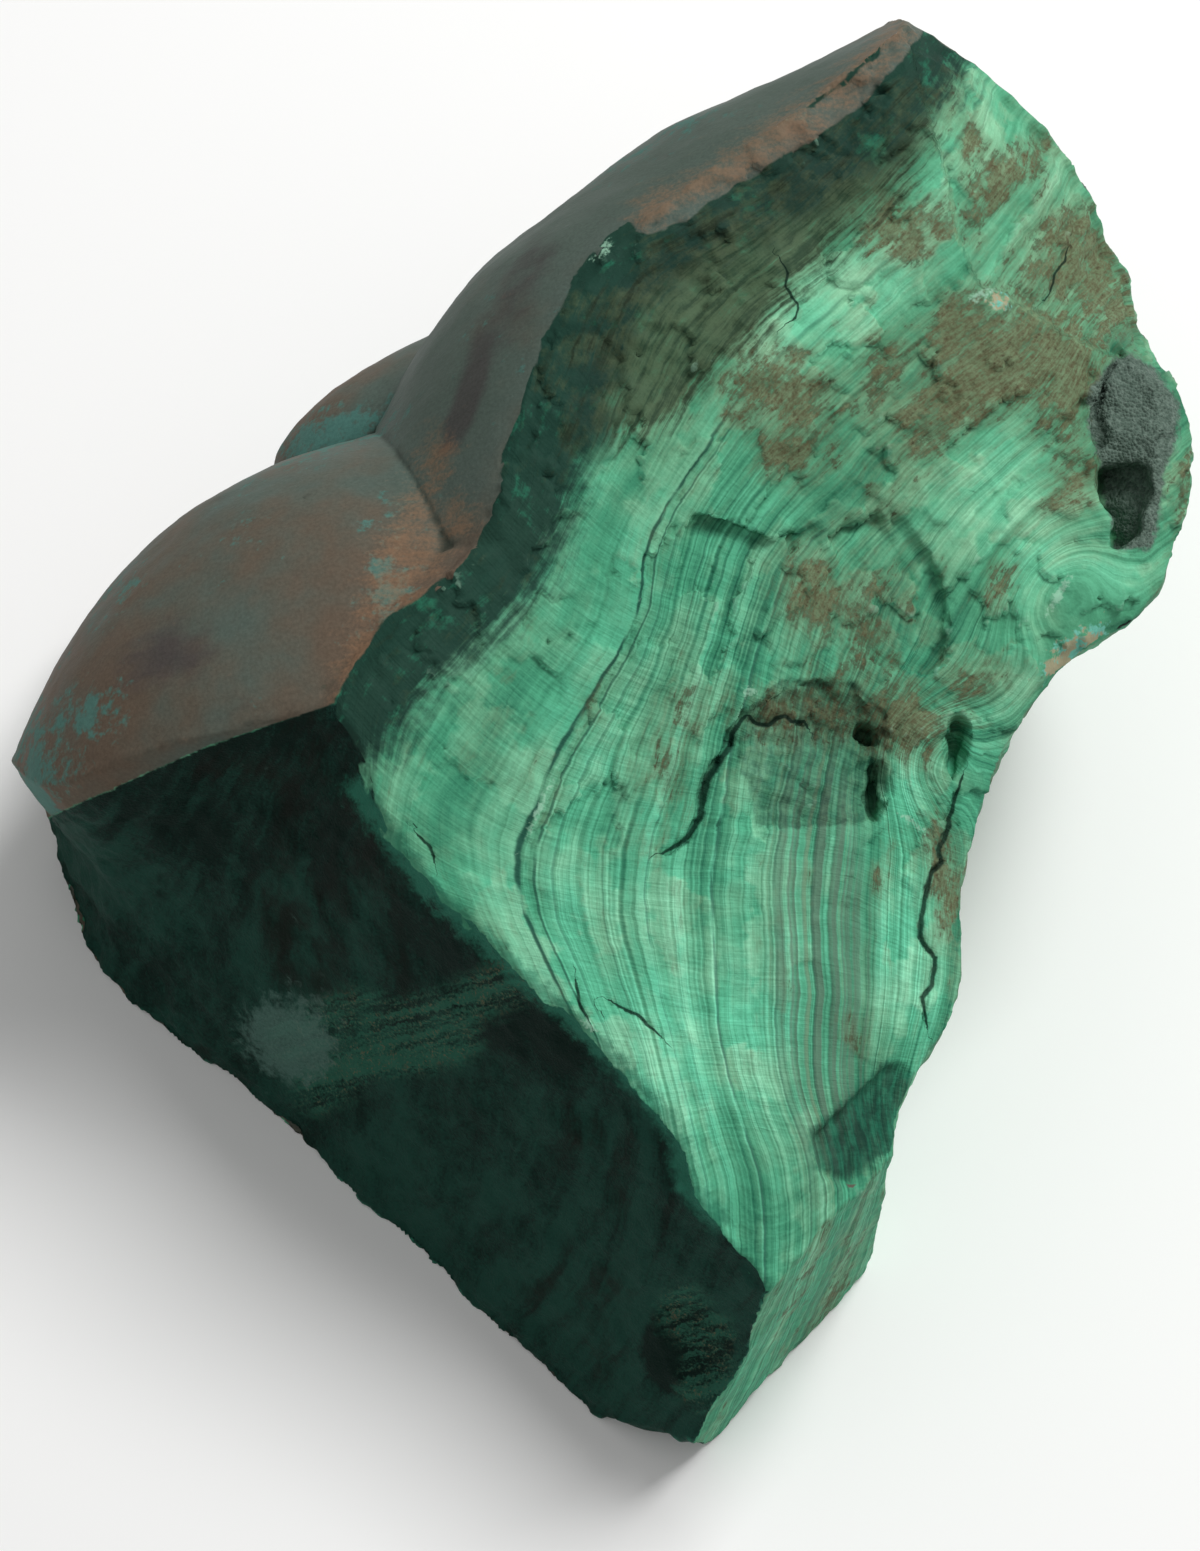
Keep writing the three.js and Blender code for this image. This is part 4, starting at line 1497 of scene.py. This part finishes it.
@dataclass(frozen=True)
class DarkFinish:
    """The dark break: near-black green with faint arcs, stringy pale veins, one grey-green patch and painted
    shade in the scoop at its toe.

    The strings of a vein lie side by side along vein_side, in the part's frame.
    """

    deep: Colour = (0.006, 0.017, 0.013)
    green: Colour = (0.014, 0.055, 0.040)
    vein: Colour = (0.030, 0.120, 0.080)
    brown: Colour = (0.130, 0.120, 0.072)
    grey: Colour = (0.100, 0.185, 0.155)
    edge: Colour = (0.032, 0.175, 0.115)
    black: Colour = (0.010, 0.013, 0.010)
    vein_side: Triple = (-0.300, 0.839, 0.446)

    def coat(self, ground: Ground) -> Coat:
        """Work out the dark break's finish.

        Args:
            ground: the places and marks.

        Returns:
            The coat.
        """
        board, place = ground.board, ground.place
        cloud = board.noise(place, 0.06, 3.0, 0.55)
        arcs = board.noise(board.vector(ground.along * 0.10, ground.across * 0.55, 5.0), 1.0, 4.0, 0.66)
        grain = board.noise(place, 3.0, 2.0, 0.7) * 0.79
        ragged = board.noise(place, 0.7, 3.0, 0.65) * 0.89
        # Painted shade: the break goes darker in the scoop at the toe
        scoop_shade = (0.0 - ground.patch + ragged * 0.5).step(0.35, 0.8)
        tint = cloud * 2.2 + arcs * 2.8 + grain * 1.8 + ragged * 0.9 + 0.12
        tint = tint + ground.along.step(100.0, 130.0) * 0.8 - scoop_shade * 2.0
        colour = board.mix(tint.step(0.0, 1.3), self.deep, self.green)
        shade = cloud * 3.0 + ragged * 0.9 - arcs * 1.8 + ground.along.step(112.0, 84.0) * 0.25
        colour = board.mix(shade.step(0.1, 0.8) * 0.85, colour, self.black)
        settings = {"operation": "DOT_PRODUCT"}
        sideways = board.add("ShaderNodeVectorMath", settings, {0: place, 1: self.vein_side}, "Value")
        thread = board.vector(sideways * 0.85 + ragged * 1.6, ground.across * 0.14, 2.37)
        threads = board.noise(thread, 1.0, 3.0, 0.7) * 3.1 + grain * 1.6 + 0.5
        vein = (ground.vein + ragged * 3.4).step(3.6, 1.2) * threads.step(0.15, 0.75)
        tone = board.mix((grain * 3.0 + ragged * 1.6 + 0.2).step(0.25, 0.85), self.vein, self.brown)
        colour = board.mix(vein * 0.75, colour, tone)
        patch = (ground.patch + ragged * 1.8 + cloud * 1.2).step(0.42, 0.95)
        colour = board.mix(patch * (0.6 + grain * 0.8), colour, self.grey)
        fringe = (ground.ridge + ragged * 3.2 + grain * 1.5).step(1.9, 0.3)
        worn = (ragged * 0.2 - ground.hollow).step(0.14, 0.30)
        colour = board.mix(fringe.over(worn) * 0.8, colour, self.edge)
        rough = 0.50 + cloud * 0.3 + grain * 0.3 + vein * 0.25 + patch * 0.2
        return Coat(colour, rough, grain * 0.22 + ragged * 0.16)


@dataclass(frozen=True)
class RindFinish:
    """The weathered rind: lobes of brown and slate green with copper wear, teal bloom and painted shade in
    the creases.
    """

    slate: Colour = (0.090, 0.122, 0.104)
    brown: Colour = (0.128, 0.096, 0.070)
    plum: Colour = (0.070, 0.062, 0.062)
    teal: Colour = (0.072, 0.205, 0.178)
    copper: Colour = (0.235, 0.135, 0.078)
    # Near-black painted as shade into the hollows and creases between lobes
    crease: Colour = (0.018, 0.024, 0.018)

    def coat(self, ground: Ground) -> Coat:
        """Work out the rind's finish.

        Args:
            ground: the places and marks.

        Returns:
            The coat.
        """
        board, place = ground.board, ground.place
        broad = board.noise(place, 0.035, 4.0, 0.6)
        cloud = board.noise(place, 0.11, 5.0, 0.6)
        smear = board.noise(place * (0.30, 0.75, 0.30), 1.0, 3.0, 0.6) * 0.94
        grain = board.noise(place, 2.6, 2.0, 0.6) * 0.85
        brownness = broad * 3.0 + cloud * 0.9 + 0.62 - ground.slate * 0.9
        colour = board.mix(brownness.step(0.1, 0.9), self.slate, self.brown)
        shade = (cloud * 2.2 - broad * 1.5 + smear * 0.8).step(0.25, 0.85)
        colour = board.mix(shade * 0.5, colour, self.plum)
        smudge = (ground.plum + cloud * 1.2 + smear * 0.5).step(0.35, 0.95)
        colour = board.mix(smudge * 0.8, colour, self.plum)
        bloom = board.noise(place, 0.075, 6.0, 0.66) - broad * 0.25 + ground.teal * 0.26
        bloom = bloom + grain * 0.18 + board.noise(place, 0.6, 3.0, 0.65) * 0.42
        bloom = bloom.step(0.13, 0.28)
        colour = board.mix(bloom * 0.8, colour, self.teal)
        worn = smear * 1.1 + grain * 0.7 - ground.wide * 0.4 + broad * 0.3 + ground.copper * 0.58
        colour = board.mix(worn.step(0.22, 0.80) * 0.6, colour, self.copper)
        # Painted shade: the rind goes near-black where it lies hollow between lobes
        colour = board.mix((ground.wide + cloud * 0.2).step(0.12, 0.5) * 0.75, colour, self.crease)
        fine = (grain * 1.6 + 0.5).step(0.0, 1.0)
        colour = colour * board.mix(fine, (0.80, 0.80, 0.79), (1.08, 1.08, 1.07))
        colour = board.mix(ground.slate.step(0.2, 1.2) * 0.7, colour, colour * (0.80, 0.83, 0.80))
        rough = 0.50 + cloud * 0.25 + grain * 0.2 + bloom * 0.15
        return Coat(colour, rough, grain * 0.04 + smear * 0.05)


@dataclass(frozen=True)
class DruseFinish:
    """The open hollow's lining of fine dark crystals."""

    dark: Colour = (0.078, 0.118, 0.094)
    light: Colour = (0.195, 0.262, 0.220)

    def coat(self, ground: Ground) -> Coat:
        """Work out the druse's finish.

        Args:
            ground: the places and marks.

        Returns:
            The coat.
        """
        board, place = ground.board, ground.place
        sparkle = board.spots(place, 3.2)
        grain = board.noise(place, 1.6, 5.0, 0.7)
        colour = board.mix((sparkle * 0.5 + grain * 1.3).step(0.0, 0.85), self.dark, self.light)
        return Coat(colour, 0.42 + grain * 0.3, sparkle * -0.2 + grain * 0.2)


@dataclass(frozen=True)
class StoneFinish:
    """All of the chunk's surfaces in one material."""

    name: str = "malachite"
    banded: BandedFinish = BandedFinish()
    dark: DarkFinish = DarkFinish()
    rind: RindFinish = RindFinish()
    druse: DruseFinish = DruseFinish()
    # The near-black of the open cracks, also laid on hollows as painted shade, and how far it darkens them
    gap: Colour = (0.004, 0.016, 0.011)
    gap_and_shade_share: float = 0.88
    gloss: float = 0.03

    def material(self) -> bpy.types.Material:
        """Make the material.

        Returns:
            The material, with its nodes.
        """
        material = bpy.data.materials.new(self.name)
        material.use_nodes = True
        board = Board(material.node_tree)
        ground = Ground(board)
        tatter = board.noise(ground.place, 0.9, 4.0, 0.65)
        lined = (ground.vug + tatter * 1.8).step(-0.35, 0.35)
        shut = abs(ground.gap + tatter * 1.3).step(1.35, 0.5) * ground.nearby.step(1.6, 1.0)
        # Painted shade: darker where the front lies hollow, widely and close by
        deep = (ground.wide + tatter * 0.4).step(0.65, 1.4) * ground.front
        near = (ground.hollow + tatter * 0.05).step(0.08, 0.28) * 0.25
        # The cracks' dark gaps and the painted hollow shade together darken every coat
        crack = shut.over(deep).over(near) * self.gap_and_shade_share
        surface = self._surface(self.banded.coat(ground), crack)
        weathered = (ground.rind + tatter * 0.5).step(0.35, 0.65)
        broken = (ground.dark + tatter * 0.5).step(0.35, 0.65)
        for share, finish in ((weathered, self.rind), (broken, self.dark), (lined, self.druse)):
            over = self._surface(finish.coat(ground), crack)
            surface = board.add("ShaderNodeMixShader", {}, {0: share, 1: surface, 2: over})
        board.add("ShaderNodeOutputMaterial", {}, {"Surface": surface}, None)
        return material

    def _surface(self, coat: Coat, crack: Wire) -> Wire:
        """Make the shader of one coat.

        Args:
            coat: the coat.
            crack: how far the cracks and the painted shade of hollows darken it.

        Returns:
            The shader.
        """
        board = crack.board
        bump = board.add("ShaderNodeBump", {}, {"Strength": 1.0, "Distance": MM, "Height": coat.height})
        colour = board.mix(crack, coat.colour, self.gap)
        inputs = {"Base Color": colour, "Roughness": coat.rough, "Normal": bump}
        inputs["Specular IOR Level"] = self.gloss
        return board.add("ShaderNodeBsdfPrincipled", {}, inputs)


@dataclass(frozen=True)
class Lamp:
    """A soft square light: where it hangs and its side, in metres, and its power in watts."""

    name: str
    place: Triple
    size: float
    power: float


@dataclass
class Studio:
    """A pale floor, soft lights and the camera at the drawing's eye."""

    drawing: Drawing = Drawing()
    scale: float = 10.3
    picture: tuple[int, int] = (1200, 1551)
    sensor: float = 36.0
    floor_size: float = 6.0
    floor_colour: Colour = (0.93, 0.93, 0.92)
    floor_rough: float = 0.9
    sky: float = 0.38
    aim: Triple = (0.0, 0.0, 0.03)
    lamps: tuple[Lamp, ...] = (
        Lamp("key", (0.45, 0.35, 0.85), 0.45, 8.6),
        Lamp("fill", (-0.7, -0.5, 0.9), 0.9, 0.6),
    )

    def floor(self) -> bpy.types.Object:
        """Lay the floor under the chunk.

        Returns:
            The floor.
        """
        half = self.floor_size / 2
        mesh = bpy.data.meshes.new("floor")
        corners = [(-half, -half, 0.0), (half, -half, 0.0), (half, half, 0.0), (-half, half, 0.0)]
        mesh.from_pydata(corners, [], [(0, 1, 2, 3)])
        floor = bpy.data.objects.new("floor", mesh)
        bpy.context.scene.collection.objects.link(floor)
        material = bpy.data.materials.new("floor")
        material.use_nodes = True
        shader = material.node_tree.nodes["Principled BSDF"]
        shader.inputs["Base Color"].default_value = (*self.floor_colour, 1.0)
        shader.inputs["Roughness"].default_value = self.floor_rough
        mesh.materials.append(material)
        return floor

    def _hang(self, lamp: Lamp) -> None:
        """Hang a light that faces the chunk.

        Args:
            lamp: the light.
        """
        data = bpy.data.lights.new(lamp.name, "AREA")
        data.size = lamp.size
        data.energy = lamp.power
        light = bpy.data.objects.new(lamp.name, data)
        bpy.context.scene.collection.objects.link(light)
        place = Vector(lamp.place)
        light.location = place
        light.rotation_euler = (Vector(self.aim) - place).to_track_quat("-Z", "Y").to_euler()

    def light(self) -> None:
        """Light the floor and the chunk softly from the upper right."""
        world = bpy.data.worlds.new("studio")
        world.use_nodes = True
        background = world.node_tree.nodes["Background"]
        background.inputs["Color"].default_value = (1.0, 1.0, 1.0, 1.0)
        background.inputs["Strength"].default_value = self.sky
        bpy.context.scene.world = world
        for lamp in self.lamps:
            self._hang(lamp)
        bpy.context.scene.view_settings.view_transform = "Standard"

    def camera(self) -> bpy.types.Object:
        """Put the camera at the drawing's eye.

        Returns:
            The camera.
        """
        drawing = self.drawing
        back = Vector((0.0, -math.sin(drawing.lean), math.cos(drawing.lean))) * drawing.eye
        data = bpy.data.cameras.new("camera")
        data.sensor_width = self.sensor
        data.lens = self.sensor * drawing.eye * self.scale / max(self.picture)
        data.clip_start = 0.01
        camera = bpy.data.objects.new("camera", data)
        bpy.context.scene.collection.objects.link(camera)
        camera.location = (Vector(drawing.place) + back) * MM
        camera.rotation_euler = (drawing.lean, 0.0, 0.0)
        bpy.context.scene.camera = camera
        return camera


def main() -> None:
    """Build the chunk and its studio, and note the sizes."""
    logging.basicConfig(level=logging.INFO, format="%(name)s: %(message)s")
    studio = Studio()
    studio.camera()
    studio.light()
    log.info("studio: %s and lights", studio.floor().name)
    piece = MalachiteStone().build()
    piece.data.materials.clear()
    piece.data.materials.append(StoneFinish().material())
    log.info("%s: %d polygons", piece.name, len(piece.data.polygons))


if __name__ == "__main__":
    main()
